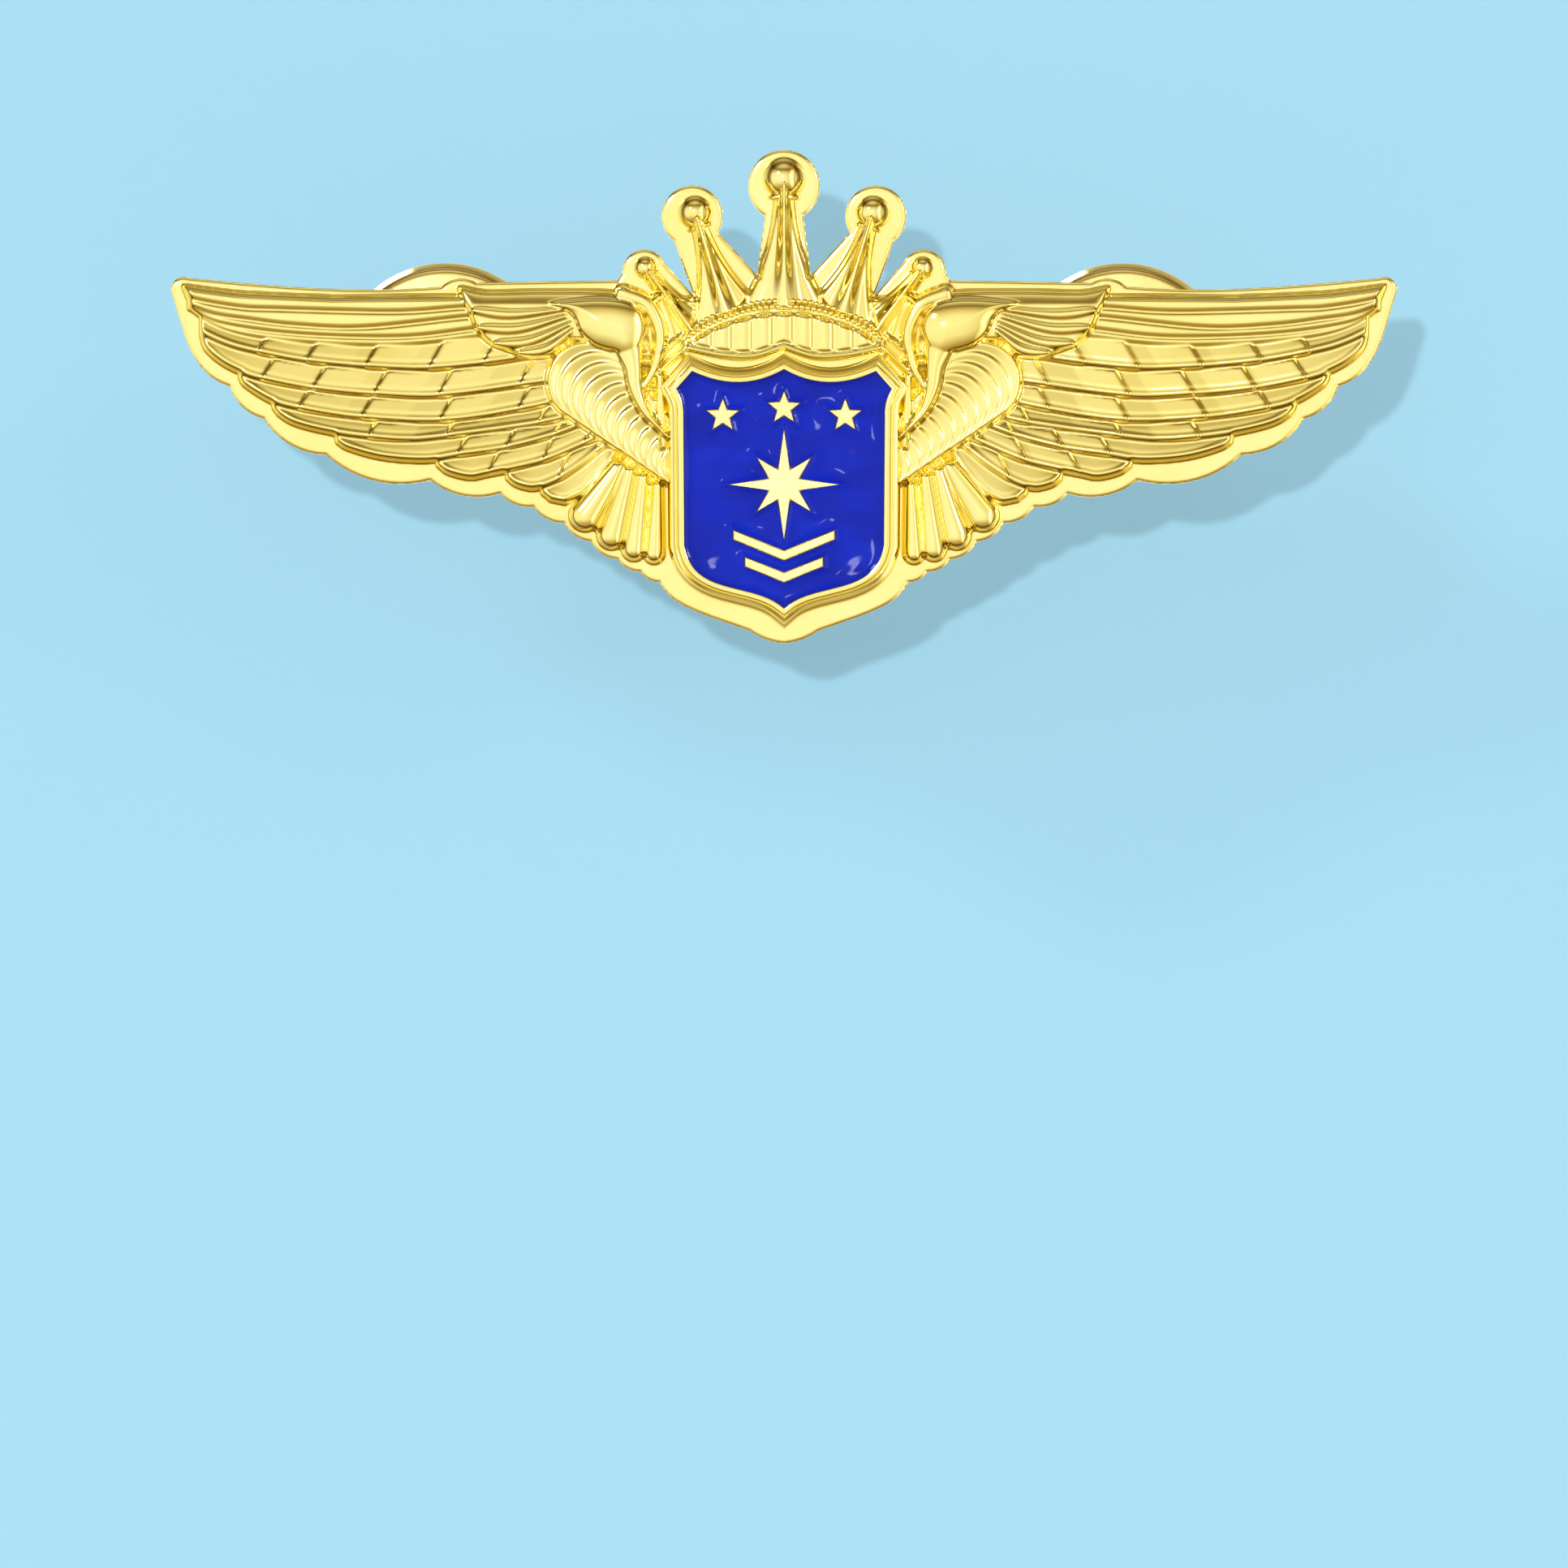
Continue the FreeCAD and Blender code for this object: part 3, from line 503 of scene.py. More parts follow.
TAIL_RADII = (0.95, 0.62, 0.5, 0.36, 0.14)
RIM_BAND = [(8.43, 4.02), (7.13, 3.45), (6.48, 1.99), (6.72, 0.36), (7.29, -0.78)]
# Short ridges beside the shield's shoulder, and the crown's lower rim.
SHOULDER_RIDGES = [
    ([(4.95, 1.45), (6.5, 0.0)], (0.2, 0.2)),
    ([(5.3, 1.95), (6.35, 0.9)], (0.2, 0.16)),
    ([(6.5, -0.3), (6.45, -2.4), (6.3, -4.0)], (0.3, 0.34, 0.2)),
]
SHOULDER_FLOOR = [(4.4, 3.9), (4.4, -4.4), (6.4, -4.4), (7.1, -1.5), (7.3, 1.0), (7.6, 3.9)]
CROWN_RIM = [(4.95, 1.2), (3.2, 0.85), (1.6, 0.8), (0.0, 1.3)]

# Crown spikes: foot, top, half width at the foot and at the ball, ball radius.
SPIKES = [
    ((0.0, 3.3), (0.0, 10.1), 2.4, 0.5, 1.13),
    ((3.0, 2.9), (4.65, 8.3), 2.0, 0.42, 0.91),
    ((4.7, 2.0), (7.25, 5.4), 1.4, 0.34, 0.62),
]
BEAD_ARC = [(4.95, 1.8), (3.9, 2.45), (2.6, 2.95), (1.3, 3.27), (0.0, 3.37)]
FLUTE = 1.06

# Points along the curves: a covert feather, a rim, the tail, a span of a closed outline.
FEATHER_POINTS, RIM_POINTS, TAIL_POINTS, SPAN_POINTS = 12, 24, 25, 8

# Heights over the plate: where a bar's side ends, and the rise of its rounded top.
FINGER_TOPS, FEATHER_TOPS, RIM_BAND_TOPS = (0.45, 0.62), (1.12, 0.34), (1.0, 0.4)
RIDGE_TOPS, TAIL_TOPS, CROWN_RIM_TOPS = (0.95, 0.3), (1.0, 0.6), (1.05, 0.24)
FINGER_FLOOR_TOP, SHOULDER_FLOOR_TOP = 0.34, 0.75
NECK_TALL, NECK_FALL, RIB_RISE, RIB_SAG = 1.0, 0.25, 0.36, 0.3
COVERT_TALL, COVERT_RISE, LOBE_TALL, LOBE_RISE = 1.05, 0.25, 1.2, 0.65
BAND_TALL, BAND_SIDE, FLUTE_RISE = 1.05, 5.4, 0.26
SPIKE_TALL, SPIKE_RISE, FACET_RISE = 0.3, 0.95, 0.09


def line_at(points, x):
    """The height z of a smooth line at each x; the line runs inwards from its first point."""
    curve = smooth_curve(points, 240)[::-1]
    return np.interp(x, np.maximum.accumulate(curve[:, 0]), curve[:, 1])


def below(grid, line):
    """1 under a line and 0 over it, with a slope one grid step high along the line itself."""
    return np.clip((line - grid.Z) / grid.step + 0.5, 0, 1)


def wing_field(grid):
    """The leading strips and the rows of overlapping feathers."""
    x = grid.x
    field = np.zeros(grid.X.shape)
    lines = [line_at(points, x) for points in LEADING_LINES]
    for number, (upper, lower) in enumerate(zip(lines, lines[1:])):
        dome = ease((upper - grid.Z) / STRIP_EDGE) * ease((grid.Z - lower) / STRIP_EDGE)
        strip = STRIP_TOP - STRIP_STEP * number + STRIP_DOME * dome
        field += (below(grid, upper) - below(grid, lower)) * strip
    upper = lines[-1]
    for points, marks in zip(ROW_LINES, ROW_MARKS):
        lower = np.where(x > points[0][0], upper, np.minimum(line_at(points, x), upper))
        width = np.maximum(upper - lower, 1e-6)
        share = np.clip((upper - grid.Z) / width, 0, 1)
        lean = np.hypot(1, np.gradient(lower, grid.step))
        above = (grid.Z - lower) / lean
        top = ROW_BASE + ROW_RISE * share * np.clip(above / RISER, 0, 1)
        top = top - VEIN * np.exp(-(((above - 2 * RISER) / 0.07) ** 2))
        for mark in marks:
            inward = mark + 0.6 * (share - 0.5) * width - grid.X
            corner = np.hypot(
                np.maximum(LIP_CORNER - inward, 0), np.maximum(LIP_CORNER - above, 0)
            )
            depth = LIP_CORNER - corner
            fade = 1 - np.clip(inward / LIP_RUN, 0, 1)
            lip = 0.35 * quarter(depth, 0.4) + 0.65 * ease(depth / 0.13)
            top = top + LIP * lip * fade * (inward > 0)
        field += (below(grid, upper) - below(grid, lower)) * top
        upper = lower
    edge = LEADING_LINES[0][::-1] + WING_TIP_EDGE
    for points, following in zip(ROW_LINES[1:], ROW_LINES[2:]):
        edge += [p for p in smooth_curve(points, 50) if p[0] >= following[0][0]]
    edge += ROW_LINES[-1] + FIELD_INSIDE
    depth = grid.depth([np.array(edge)], NEAR)
    return field * quarter(depth, 0.36)


def neck(grid, field):
    """Overlapping rounded ribs from the covert down to the shield's side."""
    for share in np.linspace(0, 1, NECK_RIBS):
        centre_x, centre_z, radius = (
            a + (b - a) * share for a, b in zip(NECK_TOP, NECK_FOOT)
        )
        depth = radius - np.hypot(grid.X - centre_x, grid.Z - centre_z)
        thick = NECK_TALL - NECK_FALL * share
        top = thick + RIB_RISE * quarter(depth, 0.3) - RIB_SAG * np.clip(depth / 0.9, 0, 1)
        field = overlay(field, depth, top)
    return field


def bars(grid, field, shapes, base, dome):
    """Lays bars of changing radius over a height field, each with a rounded top."""
    for points, radii in shapes:
        depth, share = grid.bar_depth(points, radii)
        field = overlay(field, depth, base + dome * np.sqrt(1 - (1 - share) ** 2))
    return field


def shoulder(grid, field):
    """The covert's small feathers, the smooth lobe over them, its tail and the rim band."""
    floor = grid.depth([np.array(SHOULDER_FLOOR)], NEAR)
    field = np.maximum(field, SHOULDER_FLOOR_TOP * ease(floor / 0.3))
    depth = grid.depth([smooth_loop(COVERT)], 1.2)
    slope = 0.39 * np.clip((grid.Z - 3.45) / 0.95, 0, 1)
    field = overlay(field, depth, COVERT_TALL + COVERT_RISE * quarter(depth, 0.5) - slope)
    radii = np.linspace(0.2, 0.48, FEATHER_POINTS) * taper(FEATHER_POINTS)
    shapes = [(smooth_curve(points, FEATHER_POINTS), radii) for points in COVERT_FEATHERS]
    field = bars(grid, field, shapes[::-1], *FEATHER_TOPS)
    band = smooth_curve(RIM_BAND, RIM_POINTS)
    field = bars(grid, field, [(band, np.linspace(0.5, 0.3, RIM_POINTS))], *RIM_BAND_TOPS)
    lobe = grid.depth([smooth_loop(LOBE)], 2.0)
    field = overlay(field, lobe, LOBE_TALL + LOBE_RISE * quarter(lobe, 1.5), 0.2)
    tail = smooth_curve(TAIL, TAIL_POINTS)
    spans = np.arange(len(TAIL_RADII))
    radii = np.interp(np.linspace(0, spans[-1], TAIL_POINTS), spans, TAIL_RADII)
    field = bars(grid, field, SHOULDER_RIDGES, *RIDGE_TOPS)
    return np.maximum(field, bars(grid, field, [(tail, radii)], *TAIL_TOPS))


def taper(count):
    """Radii shares of a feather that closes to a round point at its far end."""
    return np.sqrt(np.clip(1 - (np.linspace(0, 1, count) - 0.35) ** 2 / 0.5, 0.12, 1))


def smooth_loop(points):
    """A closed smooth outline through the given points."""
    points = list(points)
    count = len(points)
    curve = smooth_curve(points[-2:] + points + points[:2], SPAN_POINTS * (count + 3) + 1)
    first = 2 * SPAN_POINTS
    return curve[first : first + SPAN_POINTS * count]


def crown(grid, field):
    """The fluted band and the five ridged spikes that flare out of it."""
    arc = line_at(BEAD_ARC, grid.x)
    over = arc + 0.25 - grid.Z
    bottom = line_at(CROWN_RIM, grid.x)
    band = np.minimum(np.minimum(over, BAND_SIDE - grid.X), grid.Z - bottom + 1.2)
    ripple = np.abs(((grid.X / FLUTE + 0.5) % 1) * 2 - 1)
    flute = FLUTE_RISE * np.sqrt(1 - ripple**2) * ease((arc - 0.25 - grid.Z) / 0.3)
    flute = flute * ease((grid.Z - bottom - 0.1) / 0.25)
    field = overlay(field, band, BAND_TALL + flute, 0.25)
    rim = smooth_curve(CROWN_RIM, RIM_POINTS)
    field = bars(grid, field, [(rim, np.full(RIM_POINTS, 0.24))], *CROWN_RIM_TOPS)
    for foot, top, foot_half, top_half, _ in SPIKES[::-1]:
        length = math.dist(foot, top)
        ax, az = (top[0] - foot[0]) / length, (top[1] - foot[1]) / length
        px, pz = grid.X - foot[0], grid.Z - foot[1]
        along = (px * ax + pz * az) / length
        aside = np.abs(px * az - pz * ax)
        half = top_half + (foot_half - top_half) * (1 - np.clip(along, 0, 1)) ** 2.2
        share = np.clip(1 - aside / half, 0, 1)
        facets = FACET_RISE * np.cos(2.5 * math.pi * (1 - share)) * (share > 0)
        tall = SPIKE_TALL + SPIKE_RISE * share**0.75 + facets
        depth = np.minimum(half - aside, np.minimum(along + 0.02, 1 - along) * length)
        depth = np.where(grid.Z > arc - 0.1, depth, -1)
        field = overlay(field, depth, np.maximum(tall, field * 0.8), 0.2)
    return field


# -------- the badge's pieces

ENAMEL_FACE = -2.7  # where the CAD's flat enamel ends
plate_loop = loops_at("badge_casting", 0.0)[0]
enamel_edge, *emblem_loops = loops_at("shield_enamel", ENAMEL_FACE)

RECESS_TALL, GRAIN_RISE, GRAIN_MOST = 0.38, 0.03, 0.07
half_x = np.arange(0, 33, STEP)
grid_z = np.arange(-15, 12.6, STEP)
half_grid = Grid(half_x, grid_z, STEP)
relief = wing_field(half_grid)
floor_depth = half_grid.depth([np.array(FINGER_FLOOR)], NEAR)
relief = np.maximum(relief, FINGER_FLOOR_TOP * ease(floor_depth / 0.3))
fingers = [([root, tip], [thin, broad]) for root, tip, thin, broad in FINGERS]
relief = bars(half_grid, relief, fingers, *FINGER_TOPS)
relief = shoulder(half_grid, neck(half_grid, relief))
relief = crown(half_grid, relief)
relief = soften(relief, 1)
relief = np.concatenate([relief[:, :0:-1], relief], axis=1)

full_grid = Grid(np.concatenate([-half_x[:0:-1], half_x]), grid_z, STEP)
plate_depth = full_grid.depth([plate_loop], 0.8)
shield_depth = full_grid.depth([enamel_edge], 1.2)
rounding = EDGE_DEEP * (1 - np.clip(plate_depth / EDGE_WIDE, 0, 1)) ** 2
hollow = np.clip((shield_depth + 0.5) / 0.2, 0, 1)
relief = relief * (1 - hollow) + RECESS_TALL * hollow
front = PLATE + relief * ease(plate_depth / 0.3) - rounding
grain = soften(rng.standard_normal(full_grid.X.shape), 2)
grain = GRAIN_RISE * grain / grain.std() * ease((plate_depth - 0.2) / 0.2)
back = rounding + np.clip(grain, -GRAIN_MOST, GRAIN_MOST)
casting = [slab("badge_body", full_grid, plate_depth, front, back, "gold_casting", polished, blasted)]


def winding(loop):
    """A loop turned so that its area is on its left."""
    x, z = loop[:, 0], loop[:, 1]
    area = np.sum(x * np.roll(z, -1) - z * np.roll(x, -1))
    return loop if area > 0 else loop[::-1]


def thin_out(loop, least):
    """A loop without points closer than least to the one before."""
    kept = [loop[0]]
    for point in loop[1:]:
        if math.dist(point, kept[-1]) > least:
            kept.append(point)
    return np.array(kept)


def offsets(loop, distance):
    """A closed loop moved outwards by a distance, with mitred corners."""
    ahead = np.roll(loop, -1, axis=0) - loop
    ahead /= np.linalg.norm(ahead, axis=1, keepdims=True)
    behind = np.roll(ahead, 1, axis=0)
    normal = np.stack([ahead[:, 1] + behind[:, 1], -ahead[:, 0] - behind[:, 0]], 1)
    length = np.linalg.norm(normal, axis=1, keepdims=True)
    reach = 1 / np.maximum(length / 2, 0.45)
    return loop + normal / length * reach * distance


def rings_along(loop, profile):
    """A loop repeated for each profile point: (outwards, height over the plate)."""
    rings = []
    for outwards, height in profile:
        moved = offsets(loop, outwards)
        rings.append(np.stack([moved[:, 0], np.full(len(loop), -PLATE - height), moved[:, 1]], 1))
    return np.concatenate(rings)


def cast(name, shape, material):
    """A piece that stands for a part of the casting."""
    casting.append(make_piece(name, *shape, "badge", "gold_casting", material))
    return casting[-1]


BEZEL_PROFILE = [
    (0, 0.4), (0, 1.42), (0.03, 1.48), (0.08, 1.5), (0.26, 1.5), (0.31, 1.47), (0.36, 1.38),
    (0.42, 1.33), (0.5, 1.36), (0.58, 1.42), (0.68, 1.38), (0.78, 1.2), (0.85, 0.9), (0.88, 0.4),
    (0.88, -0.2), (0, -0.2),
]
enamel_edge = thin_out(winding(enamel_edge), 0.05)
band = strip_faces(len(enamel_edge), len(BEZEL_PROFILE), True, True)
bezel = rings_along(enamel_edge, BEZEL_PROFILE), [band[:, ::-1]]
sharpen(cast("shield_bezel", bezel, polished), 38)


def prism(loop, levels):
    """A prism with a bevelled top; each level is (outwards, height), bottom first."""
    count = len(loop)
    sides = strip_faces(count, len(levels), True, False)
    bottom = np.arange(count)[::-1][None]
    top = np.arange(count)[None] + count * (len(levels) - 1)
    return rings_along(winding(loop), levels), [sides, top, bottom]


EMBLEM_LEVELS = [(0, 0.3), (0, 0.98), (-0.04, 1.06), (-0.1, 1.1)]
emblem = joined([prism(loop, EMBLEM_LEVELS) for loop in emblem_loops])
sharpen(cast("shield_emblem", emblem, emblem_gold), 30)

ENAMEL_STEP, ENAMEL_TALL, ENAMEL_BED, ENAMEL_LAP = 0.07, 0.9, 0.3, 0.015
WAVE, MENISCUS = 0.06, 0.15
low, high = enamel_edge.min(0) - 0.3, enamel_edge.max(0) + 0.3
grid = Grid(*(np.arange(low[k], high[k], ENAMEL_STEP) for k in (0, 1)), ENAMEL_STEP)
depth = grid.depth([enamel_edge, *emblem_loops], 1.5)
waves = WAVE * np.sin(1.7 * grid.X + 0.9 * np.sin(grid.Z)) * np.sin(1.1 * grid.Z + 0.7)
meniscus = MENISCUS * np.exp(-np.maximum(depth, 0) / 0.28)
surface = PLATE + ENAMEL_TALL + waves * ease(depth / 0.8) + meniscus
bed = np.full(surface.shape, PLATE + ENAMEL_BED)
enamel = slab("enamel_fill", grid, depth + ENAMEL_LAP, surface, bed, "blue_enamel", enamel_blue)
sharpen(enamel, 50)


def pole_faces(count, rings):
    """Triangles from a net's first and last rings to the two poles that follow its points."""
    i = np.arange(count)
    j = (i + 1) % count
    last = count * (rings - 1)
    pole = np.full(count, count * rings)
    return [np.stack([j, i, pole], 1), np.stack([last + i, last + j, pole + 1], 1)]


def ball(centre, radius, across, up):
    """A sphere with its poles in front and behind."""
    tilt = np.linspace(0, math.pi, up)[1:-1]
    turn = np.linspace(0, 2 * math.pi, across, endpoint=False)
    tilt, turn = np.meshgrid(tilt, turn, indexing="ij")
    ring = np.stack(
        [np.sin(tilt) * np.cos(turn), -np.cos(tilt), np.sin(tilt) * np.sin(turn)], -1
    )
    points = np.concatenate([ring.reshape(-1, 3), [[0, -1, 0], [0, 1, 0]]])
    faces = [strip_faces(across, up - 2, True, False), *pole_faces(across, up - 2)]
    return points * radius + centre, [group[:, ::-1] for group in faces]


def collar(centre, axis, radius, thick, across, around):
    """A round ring about an axis in the badge's plane."""
    axis = Vector((axis[0], 0, axis[1])).normalized()
    side = axis.cross(Vector((0, 1, 0)))
    points = []
    for turn in np.linspace(0, 2 * math.pi, across, endpoint=False):
        out = side * math.cos(turn) + Vector((0, 1, 0)) * math.sin(turn)
        for roll in np.linspace(0, 2 * math.pi, around, endpoint=False):
            reach = radius + thick * math.cos(roll)
            points.append(Vector(centre) + out * reach + axis * thick * math.sin(roll))
    return np.array(points), [strip_faces(around, across, True, True)]


BALL_NET, COLLAR_NET, BEAD_NET = (48, 28), (40, 14), (14, 9)
crown_shapes = []
for foot, top, _, top_half, radius in SPIKES:
    for sign in (1, -1) if top[0] else (1,):
        centre = np.array([sign * top[0], -PLATE, top[1]])
        lean = np.array([sign * (top[0] - foot[0]), top[1] - foot[1]])
        lean = lean / np.linalg.norm(lean)
        under = centre - np.array([lean[0], 0, lean[1]]) * radius * 0.88
        crown_shapes.append(ball(centre, radius, *BALL_NET))
        crown_shapes.append(collar(under, lean, radius * 0.62, radius * 0.17, *COLLAR_NET))
cast("crown_balls", joined(crown_shapes), polished)

BEAD, BEAD_TALL = 0.155, 1.12  # radius, and height of the middle over the plate
bead_curve = smooth_curve(BEAD_ARC, 200)
bead_run = np.concatenate([[0], np.cumsum(np.linalg.norm(np.diff(bead_curve, axis=0), axis=1))])
bead_shapes = []
for rise, shift in ((0.0, 0.0), (0.3, 0.5)):
    for number in range(int(bead_run[-1] / (2 * BEAD)) + 1):
        run = bead_run[-1] - (number + shift) * 2 * BEAD
        if run < 0:
            continue
        x, z = (np.interp(run, bead_run, bead_curve[:, k]) for k in (0, 1))
        for sign in (1, -1) if x > 0.01 else (1,):
            centre = np.array([sign * x, -PLATE - BEAD_TALL, z + rise])
            bead_shapes.append(ball(centre, BEAD, *BEAD_NET))
cast("crown_beads", joined(bead_shapes), polished)

# -------- posts and clutches

TURN = math.radians(17)
POST_AWAY = 17.8  # from the badge's middle to each needle
CLUTCH_LIFT = 5.0  # from the badge's back to each clutch


def on_post(points, sign, lift, turn):
    """Local points (across, along, out) of a post or clutch in the badge's frame."""
    x, y, z = np.asarray(points, float).reshape(-1, 3).T
    across = x * math.cos(turn) - y * math.sin(turn)
    along = x * math.sin(turn) + y * math.cos(turn)
    return np.stack([sign * POST_AWAY - across, z + lift, along], 1)


def arc(centre, radius, start, stop, count):
    """Points of an arc in degrees, from start to stop."""
    angles = np.radians(np.linspace(start, stop, count))
    return [(centre[0] + radius * math.cos(a), centre[1] + radius * math.sin(a)) for a in angles]


def turned(profile, segments):
    """A closed turned shape from (radius, height) points; points on the axis are poles."""
    profile = np.array(profile)
    on_axis = profile[:, 0] < 1e-6
    rings = profile[~on_axis]
    angles = np.linspace(0, 2 * math.pi, segments, endpoint=False)
    points = [
        np.stack([r * np.cos(angles), r * np.sin(angles), np.full(segments, z)], 1)
        for r, z in rings
    ]
    points = np.concatenate(points)
    if not on_axis.any():
        return points, [strip_faces(segments, len(rings), True, True)]
    faces = [strip_faces(segments, len(rings), True, False)]
    ends = profile[on_axis][:, 1]
    points = np.concatenate([points, [[0, 0, ends[0]], [0, 0, ends[-1]]]])
    return points, faces + pole_faces(segments, len(rings))


def shell(top, bottom):
    """A closed sheet between two point nets of the same size (rows, columns, 3)."""
    rows, columns = top.shape[:2]
    count = rows * columns
    upper = strip_faces(columns, rows, False, False)
    rim = np.concatenate([
        np.arange(columns - 1),
        np.arange(1, rows) * columns - 1,
        count - 1 - np.arange(columns - 1),
        (rows - 1 - np.arange(rows - 1)) * columns,
    ])
    following = np.roll(rim, -1)
    walls = np.stack([following, rim, rim + count, following + count], 1)
    points = np.concatenate([top.reshape(-1, 3), bottom.reshape(-1, 3)])
    return points, [upper, upper[:, ::-1] + count, walls]


BASE_PROFILE = (
    [(0.7, -0.3), (2.22, -0.3), (2.22, 0.02)]
    + arc((2.08, 0.03), 0.14, 0, 90, 5)
    + [(2.0, 0.12)]
    + [(0.95 + 1.0 * math.cos(a), 0.14 + 0.98 * math.sin(a)) for a in np.linspace(0, 1.45, 14)]
    + [(0.95, 1.1), (0.7, 1.1)]
)
NEEDLE_PROFILE = [
    (0, -0.3), (0.84, -0.3), (0.84, 1.02), (0.8, 1.08), (0.72, 1.1), (0.62, 1.13), (0.6, 1.2),
    (0.6, 4.76), (0.585, 4.82), (0.46, 4.94), (0.44, 5.0), (0.44, 6.75), (0.46, 6.82),
    (0.585, 6.9), (0.6, 6.96), (0.53, 7.2), (0.42, 7.45), (0.28, 7.64), (0.14, 7.76), (0, 7.8),
]
CUP_PROFILE = (
    [(0.85, 0.0), (5.1, 0.0)]
    + arc((5.1, 0.45), 0.45, -80, -10, 6)
    + arc((5.28, 1.0), 0.5, -15, 165, 15)
    + [(4.74, 1.05), (4.66, 0.98), (4.55, 0.95), (4.5, 0.88), (4.47, 0.5), (4.4, 0.38),
       (4.25, 0.35), (0.92, 0.35), (0.85, 0.3)]
)
DIMPLE_PROFILE = [(0, -0.02), (0.5, -0.02), (0.46, 0.03), (0.38, 0.07), (0.25, 0.1), (0.12, 0.12),
                  (0, 0.125)]
BRIDGE_HALF_PLAN = [(0, 0.78), (1.0, 0.92), (2.1, 1.42), (3.0, 2.1), (3.55, 2.46), (3.9, 2.2),
                    (4.2, 1.2), (4.29, 0.35)]


def bridge_sheet():
    """The clutch's strap: a domed hourglass sheet with a rib pressed up along its middle."""
    plan = smooth_curve(BRIDGE_HALF_PLAN, 90)
    along = np.concatenate([-plan[:0:-1, 0], plan[:, 0]])
    half = np.concatenate([plan[:0:-1, 1], plan[:, 1]])
    share = np.linspace(-1, 1, 71)
    share = 0.6 * share + 0.4 * np.sin(share * math.pi / 2)
    y = np.repeat(along[:, None], len(share), 1)
    x = half[:, None] * share[None]
    arch = 0.64 + 2.52 * ease((4.3 - np.abs(y)) / 3.7)
    sag = 0.16 * (x / 1.2) ** 2 * ease((2.6 - np.abs(y)) / 1.5)
    edge = np.minimum(half[:, None] - np.abs(x), 4.29 - np.abs(y))
    curl = 0.1 * (1 - quarter(edge, 0.14))
    reach = np.maximum(np.abs(y) - 2.3, 0)
    rib = 0.42 * ease(1.15 * (1 - np.hypot(x, reach) / 0.62)) ** 0.8
    upper = np.stack([x, y, arch - sag - curl + rib], -1)
    lower = np.stack([x, y, arch - sag - 0.3 + curl], -1)
    return shell(upper, lower)


WING_HALF_PLAN = [(0, 1.15), (0.45, 1.62), (1.0, 1.95), (1.6, 2.12), (2.2, 2.12), (2.8, 1.93),
                  (3.4, 1.42), (3.8, 0.85), (3.98, 0.3)]
SLOPE = math.radians(51)
# The hinge line's place, the jaw's hole, run and half width, and the sheet's height and half
# thickness. Then points across the sheet, along the jaw and along the plate.
JAW_RUN, JAW_HOLE, FOOT_RUN, JAW_HALF, WING_LIFT, SHEET_HALF = 1.5, 0.68, 1.35, 1.0, 1.35, 0.15
ACROSS, JAW_ROWS, PLATE_ROWS = 37, 12, 44


def wing_sheet():
    """A squeeze wing: the jaw at its foot, a bend and an oval plate that leans outwards."""
    plan = smooth_curve(WING_HALF_PLAN, PLATE_ROWS)
    run = np.concatenate([np.linspace(-FOOT_RUN, -0.12, JAW_ROWS), plan[:, 0]])
    half = np.concatenate([np.full(JAW_ROWS, JAW_HALF), plan[:, 1]])
    share = np.sin(np.linspace(-1, 1, ACROSS) * math.pi / 2)
    y = half[:, None] * share[None]
    s = np.repeat(run[:, None], ACROSS, 1)
    notch = np.sqrt(np.clip(JAW_HOLE**2 - y**2, 0, None)) + 0.15 * (np.abs(y) >= 0.66)
    start = np.maximum(notch, 0.15) - JAW_RUN
    s = np.where(s < 0, start + (s + FOOT_RUN) / FOOT_RUN * -start, s)
    tilt = SLOPE * ease((s + 0.25) / 0.5)
    steps = np.diff(s, axis=0)
    lean = (tilt[1:] + tilt[:-1]) / 2
    x = JAW_RUN + start[:1] + np.concatenate([0 * s[:1], np.cumsum(steps * np.cos(lean), 0)])
    z = WING_LIFT + np.concatenate([0 * s[:1], np.cumsum(steps * np.sin(lean), 0)])
    cupping = 0.16 * (np.abs(y) / 2.1) ** 2 * ease(s / 2.0)
    edge = np.minimum(half[:, None] - np.abs(y), WING_HALF_PLAN[-1][0] - s)
    edge = np.minimum(edge, s - start)
    thick = SHEET_HALF - 0.09 * (1 - quarter(edge, 0.16))
    normal = np.stack([-np.sin(tilt), 0 * y, np.cos(tilt)], -1)
    middle = np.stack([x, y, z], -1) + normal * cupping[..., None]
    return shell(middle + normal * thick[..., None], middle - normal * thick[..., None])


def knuckle():
    """The rolled hinge across a wing's foot."""
    points, faces = turned(
        [(0, -1.1), (0.15, -1.1), (0.22, -1.03), (0.22, 1.03), (0.15, 1.1), (0, 1.1)], 24
    )
    x = JAW_RUN + math.cos(SLOPE) - math.sin(SLOPE) * SHEET_HALF
    z = 1.2 + math.sin(SLOPE) + math.cos(SLOPE) * SHEET_HALF
    return np.stack([points[:, 0] + x, points[:, 2], z - points[:, 1]], 1), faces


def cup():
    """The clutch's cup with four crimping dimples in its floor, beside the strap's corners."""
    shapes = [turned(CUP_PROFILE, 128)]
    for x in (-2.75, 2.75):
        for y in (-2.85, 2.85):
            points, faces = turned(DIMPLE_PROFILE, 32)
            shapes.append((points + [x, y, 0.35], faces))
    return joined(shapes)


